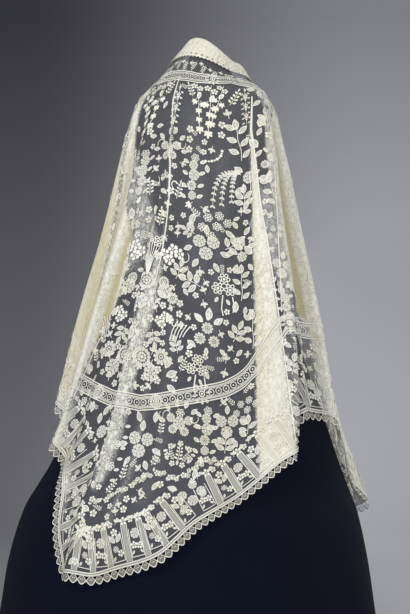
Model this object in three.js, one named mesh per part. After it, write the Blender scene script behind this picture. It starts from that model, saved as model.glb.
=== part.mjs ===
// A large three-cornered lace shawl, worn over the shoulders of a limbless display form with a
// bell-shaped lower body. The cloth stands up at the nape, is turned over there as a collar, spreads
// over the shoulders and falls in deep folds on the bell, with one corner at the back.
// Millimetres, +Z up. The wearer faces -Y, so the back of the shawl faces +Y. The origin is on the
// floor, under the middle of the bell's foot.
import * as THREE from "three";

const WALL = 1.6; // thickness of the cloth's wall
const SEAM = 0.3; // gap between neighbouring pieces of cloth
const COLLAR_DEPTH = 62; // width of the turned-over strip at the nape
const COLLAR_FRONT_DEPTH = 34; // and at its front ends
const EDGE_DEPTH = 21; // depth of the pointed edging beyond the hem
const EDGE_PITCH = 19; // length of one repeat of the edging, and width of a column at the hem

// Sections of the cloth round the body, from the turned-over top edge down. Each is an ellipse with
// its own reach to every side, and ahead is how far its middle lies in front of the body's. Its
// height changes smoothly from the back over the sides to the front. open is the angle, from the
// back, at which the front edges lie, and folds is the share of each fold's height that shows here.
const CLOTH = [
  { name: "fold of collar", zBack: 1512, zSide: 1447, zFront: 1256, left: 76, right: 85, back: 55, front: 148, ahead: 38, open: 174, folds: 0 },
  { name: "yoke", zBack: 1436, zSide: 1407, zFront: 1218, left: 134, right: 117, back: 84, front: 170, ahead: 22, open: 173, folds: 0 },
  { name: "shoulder tips", zBack: 1345, zSide: 1368, zFront: 1165, left: 188, right: 178, back: 114, front: 196, ahead: 5, open: 171, folds: 0.1 },
  { name: "upper arms", zBack: 1225, zSide: 1270, zFront: 1085, left: 212, right: 200, back: 138, front: 206, ahead: 0, open: 169, folds: 0.38 },
  { name: "waist", zBack: 1030, zSide: 1050, zFront: 935, left: 240, right: 236, back: 196, front: 236, ahead: 0, open: 167, folds: 0.62 },
  { name: "hips", zBack: 800, zSide: 810, zFront: 745, left: 280, right: 284, back: 272, front: 278, ahead: 0, open: 165, folds: 0.82 },
  { name: "thighs", zBack: 560, zSide: 560, zFront: 540, left: 320, right: 324, back: 346, front: 314, ahead: 0, open: 163, folds: 1 },
  { name: "above the knees", zBack: 450, zSide: 450, zFront: 445, left: 360, right: 364, back: 404, front: 345, ahead: 0, open: 162, folds: 0.92 },
  { name: "knees", zBack: 320, zSide: 320, zFront: 320, left: 448, right: 430, back: 482, front: 362, ahead: 0, open: 161, folds: 0.8 },
  { name: "shins", zBack: 100, zSide: 100, zFront: 100, left: 486, right: 470, back: 545, front: 382, ahead: 0, open: 160, folds: 0.7 },
];

// The folds run down from the shoulders. from and to are the angles from the back at which each one
// lies at the yoke and at the knees, with the wearer's right positive, half is its half width as an
// angle, height how far its crest stands out at the thighs, and lean how far the crest tips over
// sideways, as a share of that height.
const FOLDS = [
  { name: "front left inner", from: -148, to: -148, half: 8, height: 44, lean: 0.3 },
  { name: "front left outer", from: -128, to: -128, half: 9, height: 50, lean: -0.45 },
  { name: "left side front", from: -102, to: -104, half: 8, height: 46, lean: 0.5 },
  { name: "left side back", from: -78, to: -82, half: 8, height: 42, lean: -0.4 },
  { name: "left outer roll", from: -42, to: -56, half: 9, height: 42, lean: 0.5 },
  { name: "left inner roll", from: -12, to: -34, half: 7, height: 40, lean: 0.65 },
  { name: "left of the point", from: -4, to: -14, half: 6, height: 12, lean: 0.2 },
  { name: "ridge over the point", from: 10, to: 6, half: 5, height: 30, lean: -0.5 },
  { name: "soft swell", from: 38, to: 32, half: 10, height: 12, lean: 0 },
  { name: "right great roll", from: 82, to: 62, half: 8.5, height: 66, lean: 0.6 },
  { name: "right small fold", from: 96, to: 80, half: 4.5, height: 28, lean: -0.3 },
  { name: "right outer roll", from: 108, to: 105, half: 9, height: 46, lean: -0.6 },
  { name: "front right outer", from: 129, to: 129, half: 8, height: 34, lean: 0.4 },
  { name: "front right inner", from: 148, to: 148, half: 7, height: 40, lean: -0.3 },
];
const FOLD_OPEN = 161; // the front edge's angle at which the folds' angles are given

// The hem: across is the place round the shawl, from -1 at the wearer's left front edge to 1 at the
// right one, and drop is the cloth's length there, from the collar's fold to the hem.
const HEM = [
  { across: -1, drop: 905 },
  { across: -0.9, drop: 1000 },
  { across: -0.8, drop: 1035 },
  { across: -0.68, drop: 985 },
  { across: -0.54, drop: 920 },
  { across: -0.4, drop: 910 },
  { across: -0.3, drop: 950 },
  { across: -0.2, drop: 1010 },
  { across: -0.14, drop: 1072 },
  { across: -0.09, drop: 1122 },
  { across: -0.045, drop: 1205 },
  { across: -0.01, drop: 1320 },
  { across: 0.025, drop: 1388 },
  { across: 0.07, drop: 1386 },
  { across: 0.13, drop: 1350 },
  { across: 0.19, drop: 1306 },
  { across: 0.25, drop: 1215 },
  { across: 0.32, drop: 1146 },
  { across: 0.38, drop: 1084 },
  { across: 0.43, drop: 1042 },
  { across: 0.5, drop: 940 },
  { across: 0.57, drop: 895 },
  { across: 0.63, drop: 885 },
  { across: 0.68, drop: 930 },
  { across: 0.74, drop: 995 },
  { across: 0.82, drop: 1030 },
  { across: 0.91, drop: 1010 },
  { across: 1, drop: 925 },
];

// The display form's own sections, in the same way but level, from the neck's top to the floor.
const TORSO = [
  { z: 1474, left: 50, right: 50, back: 46, front: 48, ahead: 36 },
  { z: 1440, left: 53, right: 53, back: 50, front: 52, ahead: 34 },
  { z: 1412, left: 84, right: 80, back: 69, front: 62, ahead: 26 },
  { z: 1392, left: 127, right: 118, back: 80, front: 70, ahead: 16 },
  { z: 1368, left: 168, right: 158, back: 93, front: 88, ahead: 6 },
  { z: 1330, left: 192, right: 182, back: 107, front: 118, ahead: 1 },
  { z: 1260, left: 200, right: 190, back: 115, front: 156, ahead: 0 },
  { z: 1190, left: 184, right: 182, back: 110, front: 180, ahead: 0 },
  { z: 1120, left: 156, right: 162, back: 102, front: 156, ahead: 0 },
  { z: 1038.5, left: 129, right: 133, back: 94, front: 114, ahead: 0 },
];
const BELL = [
  { z: 1038, left: 131, right: 135, back: 97, front: 117 },
  { z: 990, left: 156, right: 158, back: 142, front: 150 },
  { z: 930, left: 184, right: 184, back: 184, front: 184 },
  { z: 850, left: 218, right: 218, back: 226, front: 216 },
  { z: 750, left: 254, right: 254, back: 272, front: 248 },
  { z: 650, left: 284, right: 286, back: 306, front: 278 },
  { z: 560, left: 314.5, right: 318.5, back: 340.9, front: 308 },
  { z: 450, left: 354.5, right: 356.8, back: 398, front: 340 },
  { z: 385, left: 398, right: 388, back: 430, front: 348 },
  { z: 320, left: 438, right: 420, back: 464, front: 355 },
  { z: 210, left: 464, right: 450, back: 507, front: 364 },
  { z: 100, left: 474, right: 468, back: 534, front: 375 },
  { z: 0, left: 483, right: 483, back: 556, front: 386 },
];

const COLOURS = { lace: 0xe9e2cd, edging: 0xf1ecdc, form: 0x23262f, bell: 0x151a2c };

const RADIANS = Math.PI / 180;

// A column of a table at a place between its rows, on a smooth curve through them.
function between(table, column, place) {
  const last = table.length - 1;
  const row = Math.min(Math.max(Math.floor(place), 0), last - 1);
  const t = Math.min(Math.max(place, 0), last) - row;
  const value = (k) => table[Math.min(Math.max(k, 0), last)][column];
  const [a, b, c, d] = [value(row - 1), value(row), value(row + 1), value(row + 2)];
  return b + 0.5 * t * (c - a + t * (2 * a - 5 * b + 4 * c - d + t * (3 * (b - c) + d - a)));
}

// The same for a table whose rows are placed by a column of their own, with no overshoot.
function along(table, key, column, at) {
  const last = table.length - 1;
  let row = 0;
  while (row < last - 1 && table[row + 1][key] <= at) row += 1;
  const slope = (k) => (table[k + 1][column] - table[k][column]) / (table[k + 1][key] - table[k][key]);
  const lean = (k) => {
    if (k === 0 || k === last) return slope(Math.min(k, last - 1));
    const [before, after] = [slope(k - 1), slope(k)];
    return before * after <= 0 ? 0 : (2 * before * after) / (before + after);
  };
  const span = table[row + 1][key] - table[row][key];
  const t = (at - table[row][key]) / span;
  const [p, q] = [table[row][column], table[row + 1][column]];
  const [m, n] = [lean(row) * span, lean(row + 1) * span];
  return p + t * (m + t * (3 * (q - p) - 2 * m - n + t * (2 * (p - q) + m + n)));
}

// A point on an ellipse with its own reach to the left, right, back and front.
function onEllipse(reach, angle) {
  const across = Math.sin(angle) > 0 ? reach.right : reach.left;
  const deep = Math.cos(angle) > 0 ? reach.back : reach.front;
  return { x: -across * Math.sin(angle), y: deep * Math.cos(angle), across, deep };
}

// How far the folds move the cloth outwards and sideways at a share of the way round.
function foldsAt(share, level) {
  let out = 0;
  let aside = 0;
  const down = Math.min(Math.max((level - 1) / 7, 0), 1);
  for (const fold of FOLDS) {
    const at = fold.from + (fold.to - fold.from) * down;
    const distance = (share * FOLD_OPEN - at) / fold.half;
    if (Math.abs(distance) >= 1.35) continue;
    const rise = 0.5 * (1 + Math.cos((Math.PI * distance) / 1.35));
    out += fold.height * rise;
    aside += fold.height * fold.lean * rise * rise;
  }
  return { out, aside };
}

// The cloth before it is measured out: share runs round it from -1 to 1, level down its sections.
function drape(share, level) {
  const reach = {};
  for (const column of ["left", "right", "back", "front", "ahead", "open", "folds", "zBack", "zSide", "zFront"]) {
    reach[column] = between(CLOTH, column, level);
  }
  const angle = share * reach.open * RADIANS;
  const spot = onEllipse(reach, angle);
  const normal = new THREE.Vector2(spot.x / spot.across ** 2, spot.y / spot.deep ** 2).normalize();
  const fold = foldsAt(share, level);
  const out = fold.out * reach.folds;
  const aside = fold.aside * reach.folds;
  const [facing, side] = [Math.cos(angle), Math.sin(angle)];
  const end = facing > 0 ? reach.zBack : reach.zFront;
  const z = reach.zSide * side * side + end * facing * facing;
  return new THREE.Vector3(
    spot.x + normal.x * out - normal.y * aside,
    spot.y - reach.ahead + normal.y * out + normal.x * aside,
    z,
  );
}

// The same points again, evenly spaced along the line through them, by a count or by a step.
function evenly(points, count, step) {
  const far = [0];
  for (let i = 1; i < points.length; i += 1) far.push(far[i - 1] + points[i].distanceTo(points[i - 1]));
  const total = far[far.length - 1];
  const gap = step ?? total / (count - 1);
  const line = [];
  let i = 1;
  for (let k = 0; k < count; k += 1) {
    const at = Math.min(k * gap, total);
    while (i < points.length - 1 && far[i] < at) i += 1;
    line.push(points[i - 1].clone().lerp(points[i], (at - far[i - 1]) / (far[i] - far[i - 1])));
  }
  return line;
}

// The cloth, measured out: even steps of length across each section, then even steps down.
const ACROSS = 641;
const LEVELS = 97;
const DROP_STEP = 10;
const DROPS = 160;
const measured = (() => {
  const sections = [];
  for (let j = 0; j < LEVELS; j += 1) {
    const level = ((CLOTH.length - 1) * j) / (LEVELS - 1);
    const ring = [];
    for (let i = 0; i < 3 * ACROSS; i += 1) ring.push(drape((2 * i) / (3 * ACROSS - 1) - 1, level));
    sections.push(evenly(ring, ACROSS));
  }
  const strips = [];
  for (let i = 0; i < ACROSS; i += 1) {
    strips.push(evenly(sections.map((section) => section[i]), DROPS, DROP_STEP));
  }
  return strips;
})();

// The middle of the cloth at a place across, from -1 to 1, and a length down from the collar's fold.
export function onCloth(across, drop) {
  const a = Math.min(Math.max((across + 1) / 2, 0), 1) * (ACROSS - 1);
  const d = drop / DROP_STEP;
  const i = Math.min(Math.floor(a), ACROSS - 2);
  const k = Math.min(Math.max(Math.floor(d), 0), DROPS - 2);
  const upper = measured[i][k].clone().lerp(measured[i + 1][k], a - i);
  const lower = measured[i][k + 1].clone().lerp(measured[i + 1][k + 1], a - i);
  return upper.lerp(lower, d - k);
}

// The cloth's outward direction there.
export function outwards(across, drop) {
  const [side, down] = [0.004, 8];
  const [low, high] = [Math.max(across - side, -1), Math.min(across + side, 1)];
  const top = Math.max(drop - down, 0);
  const round = onCloth(high, drop).sub(onCloth(low, drop));
  const fall = onCloth(across, drop + down).sub(onCloth(across, top));
  return fall.cross(round).normalize();
}

export const dropOf = (across) => along(HEM, "across", "drop", across);

// A closed wall of cloth. middle and facing give its middle surface and outward direction at row j
// and column i.
function wall(rows, columns, middle, facing) {
  const position = [];
  for (const side of [0.5, -0.5]) {
    for (let j = 0; j <= rows; j += 1) {
      for (let i = 0; i <= columns; i += 1) {
        const p = middle(j, i).addScaledVector(facing(j, i), side * WALL);
        position.push(p.x, p.y, p.z);
      }
    }
  }
  const inner = (rows + 1) * (columns + 1);
  const at = (j, i) => j * (columns + 1) + i;
  const index = [];
  const quad = (a, b, c, d) => index.push(a, b, c, a, c, d);
  for (let j = 0; j < rows; j += 1) {
    for (let i = 0; i < columns; i += 1) {
      quad(at(j, i), at(j + 1, i), at(j + 1, i + 1), at(j, i + 1));
      quad(inner + at(j, i), inner + at(j, i + 1), inner + at(j + 1, i + 1), inner + at(j + 1, i));
    }
  }
  for (let i = 0; i < columns; i += 1) {
    quad(at(0, i), at(0, i + 1), inner + at(0, i + 1), inner + at(0, i));
    quad(at(rows, i + 1), at(rows, i), inner + at(rows, i), inner + at(rows, i + 1));
  }
  for (let j = 0; j < rows; j += 1) {
    quad(at(j, 0), inner + at(j, 0), inner + at(j + 1, 0), at(j + 1, 0));
    quad(at(j, columns), at(j + 1, columns), inner + at(j + 1, columns), inner + at(j, columns));
  }
  return solid(position, index);
}

function solid(position, index) {
  const geometry = new THREE.BufferGeometry();
  geometry.setAttribute("position", new THREE.Float32BufferAttribute(position, 3));
  geometry.setIndex(index);
  geometry.computeVertexNormals();
  return geometry;
}

// Half the shawl's width at a place, as if it were as wide everywhere as it is there.
function widthAt(across, drop) {
  const [low, high] = [Math.max(across - 0.002, -1), Math.min(across + 0.002, 1)];
  return onCloth(high, drop).distanceTo(onCloth(low, drop)) / (high - low);
}

// Even steps along the hem, on the draped cloth.
function hemSteps(from, to, parts) {
  const fine = 600;
  const places = [];
  for (let i = 0; i <= fine; i += 1) {
    const across = from + ((to - from) * i) / fine;
    places.push({ across, point: onCloth(across, dropOf(across)) });
  }
  const far = [0];
  for (let i = 1; i <= fine; i += 1) far.push(far[i - 1] + places[i].point.distanceTo(places[i - 1].point));
  const repeats = Math.max(1, Math.round(far[fine] / EDGE_PITCH));
  const line = [];
  let i = 1;
  for (let k = 0; k <= repeats * parts; k += 1) {
    const at = (far[fine] * k) / (repeats * parts);
    while (i < fine && far[i] < at) i += 1;
    const t = (at - far[i - 1]) / (far[i] - far[i - 1]);
    line.push(places[i - 1].across + t * (places[i].across - places[i - 1].across));
  }
  return { repeats, line };
}

// One stretch of the draped cloth, from one place across to another. Its first rows follow the
// collar, and the others share out the rest of the length.
const TOP_ROWS = [0, 31, 64, 120, 190, 300, 440];
const ROW_SHARES = [0.26, 0.52, 0.77, 1];
function panel(from, to) {
  const { repeats, line } = hemSteps(from, to, 1);
  const drop = (j, i) => {
    if (j < TOP_ROWS.length) return TOP_ROWS[j];
    const last = TOP_ROWS[TOP_ROWS.length - 1];
    return last + ROW_SHARES[j - TOP_ROWS.length] * (dropOf(line[i]) - last);
  };
  const across = (j, i) => {
    if (i === 0 && from > -1) return from + (0.5 * SEAM + 0.02) / widthAt(from, drop(j, i));
    if (i === repeats && to < 1) return to - (0.5 * SEAM + 0.02) / widthAt(to, drop(j, i));
    return line[i];
  };
  return wall(
    TOP_ROWS.length + ROW_SHARES.length - 1,
    repeats,
    (j, i) => onCloth(across(j, i), drop(j, i)),
    (j, i) => outwards(across(j, i), drop(j, i)),
  );
}

// The turned-over collar: it rides over the cloth's top edge and lies down outside it. down is
// measured along the cloth and off is how far it stands out from it.
const COLLAR_PATH = [
  { down: -1.6, off: -0.8 },
  { down: -0.8, off: 4 },
  { down: 30, off: 5.6 },
  { down: 62, off: 7.4 },
];
const COLLAR_TEETH = 44;
function collar() {
  const columns = 2 * COLLAR_TEETH;
  const across = (i) => -1 + (2 * i) / columns;
  const middle = (j, i) => {
    const row = COLLAR_PATH[j];
    const a = across(i);
    const depth = COLLAR_DEPTH + (COLLAR_FRONT_DEPTH - COLLAR_DEPTH) * a * a;
    const tooth = j === COLLAR_PATH.length - 1 && i % 2 === 0 ? 6 : 0;
    const down = row.down < 0 ? row.down : (row.down * depth) / COLLAR_DEPTH - tooth;
    const drop = Math.max(down, 0);
    const fall = onCloth(a, drop + 8).sub(onCloth(a, drop)).normalize();
    return onCloth(a, drop)
      .addScaledVector(outwards(a, drop), row.off)
      .addScaledVector(fall, down - drop);
  };
  const facing = (j, i) => {
    const before = middle(Math.max(j - 1, 0), i);
    const after = middle(Math.min(j + 1, COLLAR_PATH.length - 1), i);
    const [low, high] = [Math.max(i - 2, 0), Math.min(i + 2, columns)];
    const round = middle(j, high).sub(middle(j, low));
    return after.sub(before).cross(round).normalize();
  };
  return wall(COLLAR_PATH.length - 1, columns, middle, facing);
}

// The flat cloth: places across and lengths down, laid out as a fan in which lengths are near true.
const FAN_RADIUS = 480; // from the fan's middle to the collar's fold
const FAN_ANGLE = 1.7; // from one front edge to the other, in radians
const toFan = (across, drop) => {
  const angle = (across * FAN_ANGLE) / 2;
  const radius = FAN_RADIUS + drop;
  return new THREE.Vector2(radius * Math.sin(angle), radius * Math.cos(angle));
};
const fromFan = (p) => ({
  across: (2 * Math.atan2(p.x, p.y)) / FAN_ANGLE,
  drop: p.length() - FAN_RADIUS,
});

// One repeat of the edging, from one point to the next: t runs along the hem and w outwards. A
// three-sided gap is cut through above the valley between the points.
const TOOTH = [
  { name: "point at the hem", t: 0, w: 0 },
  { name: "point", t: 0, w: 1 },
  { name: "valley", t: 0.5, w: 0.66 },
  { name: "gap start", t: 0.17, w: 0.14 },
  { name: "gap end", t: 0.83, w: 0.14 },
  { name: "gap tip", t: 0.5, w: 0.5 },
];
const TOOTH_FACES = [[0, 1, 3], [1, 5, 3], [1, 2, 5], [2, 7, 5], [7, 4, 5], [7, 6, 4], [6, 0, 3], [6, 3, 4]];
function edging(from, to) {
  const fine = 100;
  const { repeats, line } = hemSteps(from, to, fine);
  const place = (k, w) => {
    let a = line[Math.round(k * fine)];
    if (k === 0 && from > -1) a += (0.5 * SEAM + 0.02) / widthAt(a, dropOf(a));
    if (k === repeats && to < 1) a -= (0.5 * SEAM + 0.02) / widthAt(a, dropOf(a));
    const flat = toFan(a, dropOf(a));
    const [low, high] = [Math.max(a - 0.003, -1), Math.min(a + 0.003, 1)];
    const along = toFan(high, dropOf(high)).sub(toFan(low, dropOf(low)));
    const out = new THREE.Vector2(-along.y, along.x).normalize();
    return fromFan(flat.addScaledVector(out, SEAM + 0.05 + w * EDGE_DEPTH));
  };
  const spots = [];
  for (let k = 0; k < repeats; k += 1) {
    for (const corner of TOOTH) spots.push(place(k + corner.t, corner.w));
  }
  spots.push(place(repeats, TOOTH[0].w), place(repeats, TOOTH[1].w));
  const position = [];
  for (const side of [0.5, -0.5]) {
    for (const { across, drop } of spots) {
      const p = onCloth(across, drop).addScaledVector(outwards(across, drop), side * WALL);
      position.push(p.x, p.y, p.z);
    }
  }
  const corners = TOOTH.length;
  const inner = spots.length;
  const index = [];
  const side = (a, b) => index.push(b, a, inner + b, a, inner + a, inner + b);
  for (let k = 0; k < repeats; k += 1) {
    const vertex = (c) => corners * k + c;
    for (const [a, b, c] of TOOTH_FACES) {
      index.push(vertex(a), vertex(b), vertex(c));
      index.push(inner + vertex(a), inner + vertex(c), inner + vertex(b));
    }
    for (const [a, b] of [[1, 2], [2, 7], [6, 0], [3, 4], [4, 5], [5, 3]]) side(vertex(a), vertex(b));
  }
  side(0, 1);
  side(corners * repeats + 1, corners * repeats);
  return solid(position, index);
}

// A closed body through level sections, with flat ends.
function loft(table, sides) {
  const position = [];
  for (const row of table) {
    for (let i = 0; i < sides; i += 1) {
      const spot = onEllipse(row, (2 * Math.PI * i) / sides);
      position.push(spot.x, spot.y - (row.ahead ?? 0), row.z);
    }
  }
  const index = [];
  for (let j = 0; j < table.length - 1; j += 1) {
    for (let i = 0; i < sides; i += 1) {
      const next = (i + 1) % sides;
      const [a, b, c, d] = [j * sides + i, j * sides + next, (j + 1) * sides + next, (j + 1) * sides + i];
      index.push(a, c, b, a, d, c);
    }
  }
  const last = (table.length - 1) * sides;
  for (let i = 1; i < sides - 1; i += 1) {
    index.push(0, i, i + 1);
    index.push(last, last + i + 1, last + i);
  }
  return solid(position, index);
}

const shawl = new THREE.Group();
const foot = BELL[BELL.length - 1];
shawl.position.y = (foot.front - foot.back) / 2; // brings the middle of the foot over the origin
function add(name, geometry, colour, roughness) {
  const material = new THREE.MeshStandardMaterial({ color: colour, roughness, metalness: 0 });
  const mesh = new THREE.Mesh(geometry, material);
  mesh.name = name;
  shawl.add(mesh);
}

// The stretches of cloth between the deep folds, from the wearer's left front to the right front.
const STRETCHES = [
  { name: "left_front_edge", from: -1, to: -0.86 },
  { name: "left_front", from: -0.86, to: -0.72 },
  { name: "left_side", from: -0.72, to: -0.44 },
  { name: "left_back_rolls", from: -0.44, to: -0.14 },
  { name: "back_point_left", from: -0.14, to: -0.03 },
  { name: "back_point_middle", from: -0.03, to: 0.08 },
  { name: "back_point_right", from: 0.08, to: 0.3 },
  { name: "right_back_roll", from: 0.3, to: 0.4 },
  { name: "right_back_hollow", from: 0.4, to: 0.54 },
  { name: "right_side", from: 0.54, to: 0.76 },
  { name: "right_front", from: 0.76, to: 1 },
];
for (const { name, from, to } of STRETCHES) {
  add(`${name}_net`, panel(from, to), COLOURS.lace, 0.85);
  add(`${name}_edging`, edging(from, to), COLOURS.edging, 0.8);
}
add("turned_over_collar", collar(), COLOURS.edging, 0.8);
add("form_torso", loft(TORSO, 36), COLOURS.form, 0.9);
add("form_bell", loft(BELL, 36), COLOURS.bell, 0.9);

export default shawl;
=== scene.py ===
# %% [markdown]
# # A lace shawl on its display form
# The real object is one large three-cornered piece of net. White flowers, leaves and bands are
# applied to it, its long edge is turned over at the nape, and its short edges carry a row of pointed
# loops. It hangs in deep folds over a dark form without arms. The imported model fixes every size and
# place, so it is loaded first, and everything below is made in the same frame, in metres.

# %% Load the frame
import math

import bpy
import numpy as np
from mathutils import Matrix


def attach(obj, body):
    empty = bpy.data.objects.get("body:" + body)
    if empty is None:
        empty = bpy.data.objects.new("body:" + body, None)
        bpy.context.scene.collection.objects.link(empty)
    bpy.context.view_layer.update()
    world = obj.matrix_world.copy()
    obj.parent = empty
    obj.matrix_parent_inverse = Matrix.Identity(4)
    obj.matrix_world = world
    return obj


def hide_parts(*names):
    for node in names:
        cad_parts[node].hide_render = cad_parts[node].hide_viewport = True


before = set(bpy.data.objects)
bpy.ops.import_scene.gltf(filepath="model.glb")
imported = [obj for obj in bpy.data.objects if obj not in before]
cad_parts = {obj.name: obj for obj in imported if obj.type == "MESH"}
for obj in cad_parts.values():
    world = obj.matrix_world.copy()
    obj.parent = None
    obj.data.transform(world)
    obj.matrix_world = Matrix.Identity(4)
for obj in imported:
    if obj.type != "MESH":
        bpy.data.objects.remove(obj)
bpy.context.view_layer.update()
scene = bpy.context.scene
MM = 0.001

# %% [markdown]
# ## Camera and light
# The photograph looks at the shawl from behind, a little from its right, from four metres away and
# level with the waist. A large soft lamp stands to the left of the camera, a weaker one to the right,
# and the room adds a little light from everywhere. Lace needs a grey wall behind it to read as white.

# %% Camera
AZIMUTH = math.radians(218)
TOWARDS = np.array([math.sin(AZIMUTH), -math.cos(AZIMUTH), 0.0])
RIGHT = np.array([math.cos(AZIMUTH), math.sin(AZIMUTH), 0.0])
CAMERA_FAR = 4.0  # metres from the shawl's own axis
CAMERA_HIGH = 0.8313
PIXEL = 0.00255  # metres to a pixel at the axis, in the 410 by 614 image
IMAGE = (410, 614)
AXIS_COLUMN = 200  # pixel column at which the axis stands
AXIS = np.array([0.0, -0.085, 0.0])
LAMPS_AIM = AXIS + (0, 0, 0.85)

camera = bpy.data.objects.new("camera", bpy.data.cameras.new("camera"))
camera.data.sensor_fit = "AUTO"
camera.data.sensor_width = 36.0
camera.data.lens = 36.0 * CAMERA_FAR / (PIXEL * IMAGE[1])
spot = AXIS + CAMERA_FAR * TOWARDS + (IMAGE[0] / 2 - AXIS_COLUMN) * PIXEL * RIGHT
camera.location = (spot[0], spot[1], CAMERA_HIGH)
camera.rotation_euler = (math.pi / 2, 0, AZIMUTH)
scene.collection.objects.link(camera)
scene.camera = camera
scene.cycles.transparent_max_bounces = 40  # the net lies in many see-through layers
scene.view_settings.view_transform = "Standard"
print("camera at", [round(x, 3) for x in camera.location], "lens", round(camera.data.lens, 1))


# %% Lamps
def soft_lamp(name, aside, high, near, size, watts):
    """A square area lamp that faces the middle of the shawl."""
    lamp = bpy.data.objects.new(name, bpy.data.lights.new(name, "AREA"))
    lamp.data.shape = "SQUARE"
    lamp.data.size = size
    lamp.data.energy = watts
    place = AXIS + near * TOWARDS + aside * RIGHT + np.array([0, 0, high])
    lamp.location = place
    aim = LAMPS_AIM - place
    flat = math.hypot(aim[0], aim[1])
    lamp.rotation_euler = (math.pi / 2 + math.atan2(aim[2], flat), 0, math.atan2(-aim[0], aim[1]))
    scene.collection.objects.link(lamp)


soft_lamp("key_lamp", aside=-1.7, high=2.3, near=2.3, size=1.4, watts=72)
soft_lamp("fill_lamp", aside=2.4, high=1.4, near=2.0, size=1.8, watts=37)
soft_lamp("rim_lamp", aside=1.2, high=2.4, near=-1.6, size=1.2, watts=18)
room = bpy.data.worlds.new("room")
room.use_nodes = True
room.node_tree.nodes["Background"].inputs["Color"].default_value = (0.86, 0.88, 0.92, 1)
room.node_tree.nodes["Background"].inputs["Strength"].default_value = 0.42
scene.world = room


# %% [markdown]
# ## Helpers for node trees
# A short helper adds a node, sets its properties and joins its inputs, so each tree below reads as a
# list of what it does. It serves Geometry Nodes and materials alike.

# %% Node helpers
def node(tree, kind, inputs=None, **settings):
    """Adds a node. inputs maps a socket's name or number to a value or to a node's output."""
    made = tree.nodes.new(kind)
    for key, value in settings.items():
        setattr(made, key, value)
    for key, value in (inputs or {}).items():
        if isinstance(value, bpy.types.NodeSocket):
            tree.links.new(value, made.inputs[key])
        else:
            made.inputs[key].default_value = value
    return made


def maths(tree, operation, *values, clamp=False):
    """The output of a Math node on one to three values."""
    made = node(tree, "ShaderNodeMath", dict(enumerate(values)), operation=operation, use_clamp=clamp)
    return made.outputs[0]


def vector_maths(tree, operation, *values):
    """The output of a Vector Math node on two values."""
    return node(tree, "ShaderNodeVectorMath", dict(enumerate(values)), operation=operation).outputs[0]


def mapped(tree, value, from_min=0.0, from_max=1.0, to_min=0.0, to_max=1.0, **settings):
    """The output of a Map Range node."""
    ends = {"From Min": from_min, "From Max": from_max, "To Min": to_min, "To Max": to_max}
    return node(tree, "ShaderNodeMapRange", {"Value": value, **ends}, **settings).outputs[0]


def grid_faces(columns, rows):
    """Quads of a grid whose points run down one column after the other."""
    i, k = np.meshgrid(np.arange(columns), np.arange(rows), indexing="ij")
    at = (i * (rows + 1) + k).ravel()
    return np.stack([at, at + 1, at + rows + 2, at + rows + 1], -1)


def make_smooth(made, flat_faces=0):
    """Smooth shading on all faces but the last few."""
    count = len(made.data.polygons) - flat_faces
    made.data.polygons.foreach_set("use_smooth", [True] * count + [False] * flat_faces)


def mesh_object(name, points, faces, attributes=None, flat=None):
    """A mesh object at the origin. flat gives each point's place in the flat cloth as a UV map."""
    mesh = bpy.data.meshes.new(name)
    mesh.from_pydata([tuple(p) for p in points], [], [tuple(f) for f in faces])
    for key, values in (attributes or {}).items():
        values = np.asarray(values, np.float32)
        kind = "FLOAT_VECTOR" if values.ndim == 2 else "FLOAT"
        layer = mesh.attributes.new(key, kind, "POINT")
        layer.data.foreach_set("vector" if values.ndim == 2 else "value", values.ravel())
    if flat is not None:
        corner = np.zeros(len(mesh.loops), np.int32)
        mesh.loops.foreach_get("vertex_index", corner)
        mesh.uv_layers.new(name="flat").data.foreach_set("uv", np.asarray(flat, np.float32)[corner].ravel())
    made = bpy.data.objects.new(name, mesh)
    scene.collection.objects.link(made)
    return made


# %% [markdown]
# ## The drape
# The cloth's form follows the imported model: level by level it is an oval with its own reach to every
# side, and deep folds run down it from the shoulders. The tables are the model's own, in millimetres.
# A smooth curve through the rows gives any height between them.

# %% Sections of the cloth
COLUMNS = ("z_back", "z_side", "z_front", "left", "right", "back", "front", "ahead", "open", "folds")
SECTIONS = {
    "fold of collar": (1512, 1447, 1256, 76, 85, 55, 148, 38, 174, 0),
    "yoke": (1436, 1407, 1218, 134, 117, 84, 170, 22, 173, 0),
    "shoulder tips": (1345, 1368, 1165, 188, 178, 114, 196, 5, 171, 0.1),
    "upper arms": (1225, 1270, 1085, 212, 200, 138, 206, 0, 169, 0.38),
    "waist": (1030, 1050, 935, 240, 236, 196, 236, 0, 167, 0.62),
    "hips": (800, 810, 745, 280, 284, 272, 278, 0, 165, 0.82),
    "thighs": (560, 560, 540, 320, 324, 346, 314, 0, 163, 1),
    "above the knees": (450, 450, 445, 360, 364, 404, 345, 0, 162, 0.92),
    "knees": (320, 320, 320, 448, 430, 482, 362, 0, 161, 0.8),
    "shins": (100, 100, 100, 486, 470, 545, 382, 0, 160, 0.7),
}
FOOT_BACK, FOOT_FRONT = 556, 386
SHIFT = (FOOT_FRONT - FOOT_BACK) / 2  # brings the middle of the foot over the origin
FOLD_OPEN, FOLD_SPREAD = 161, 1.35
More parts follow.
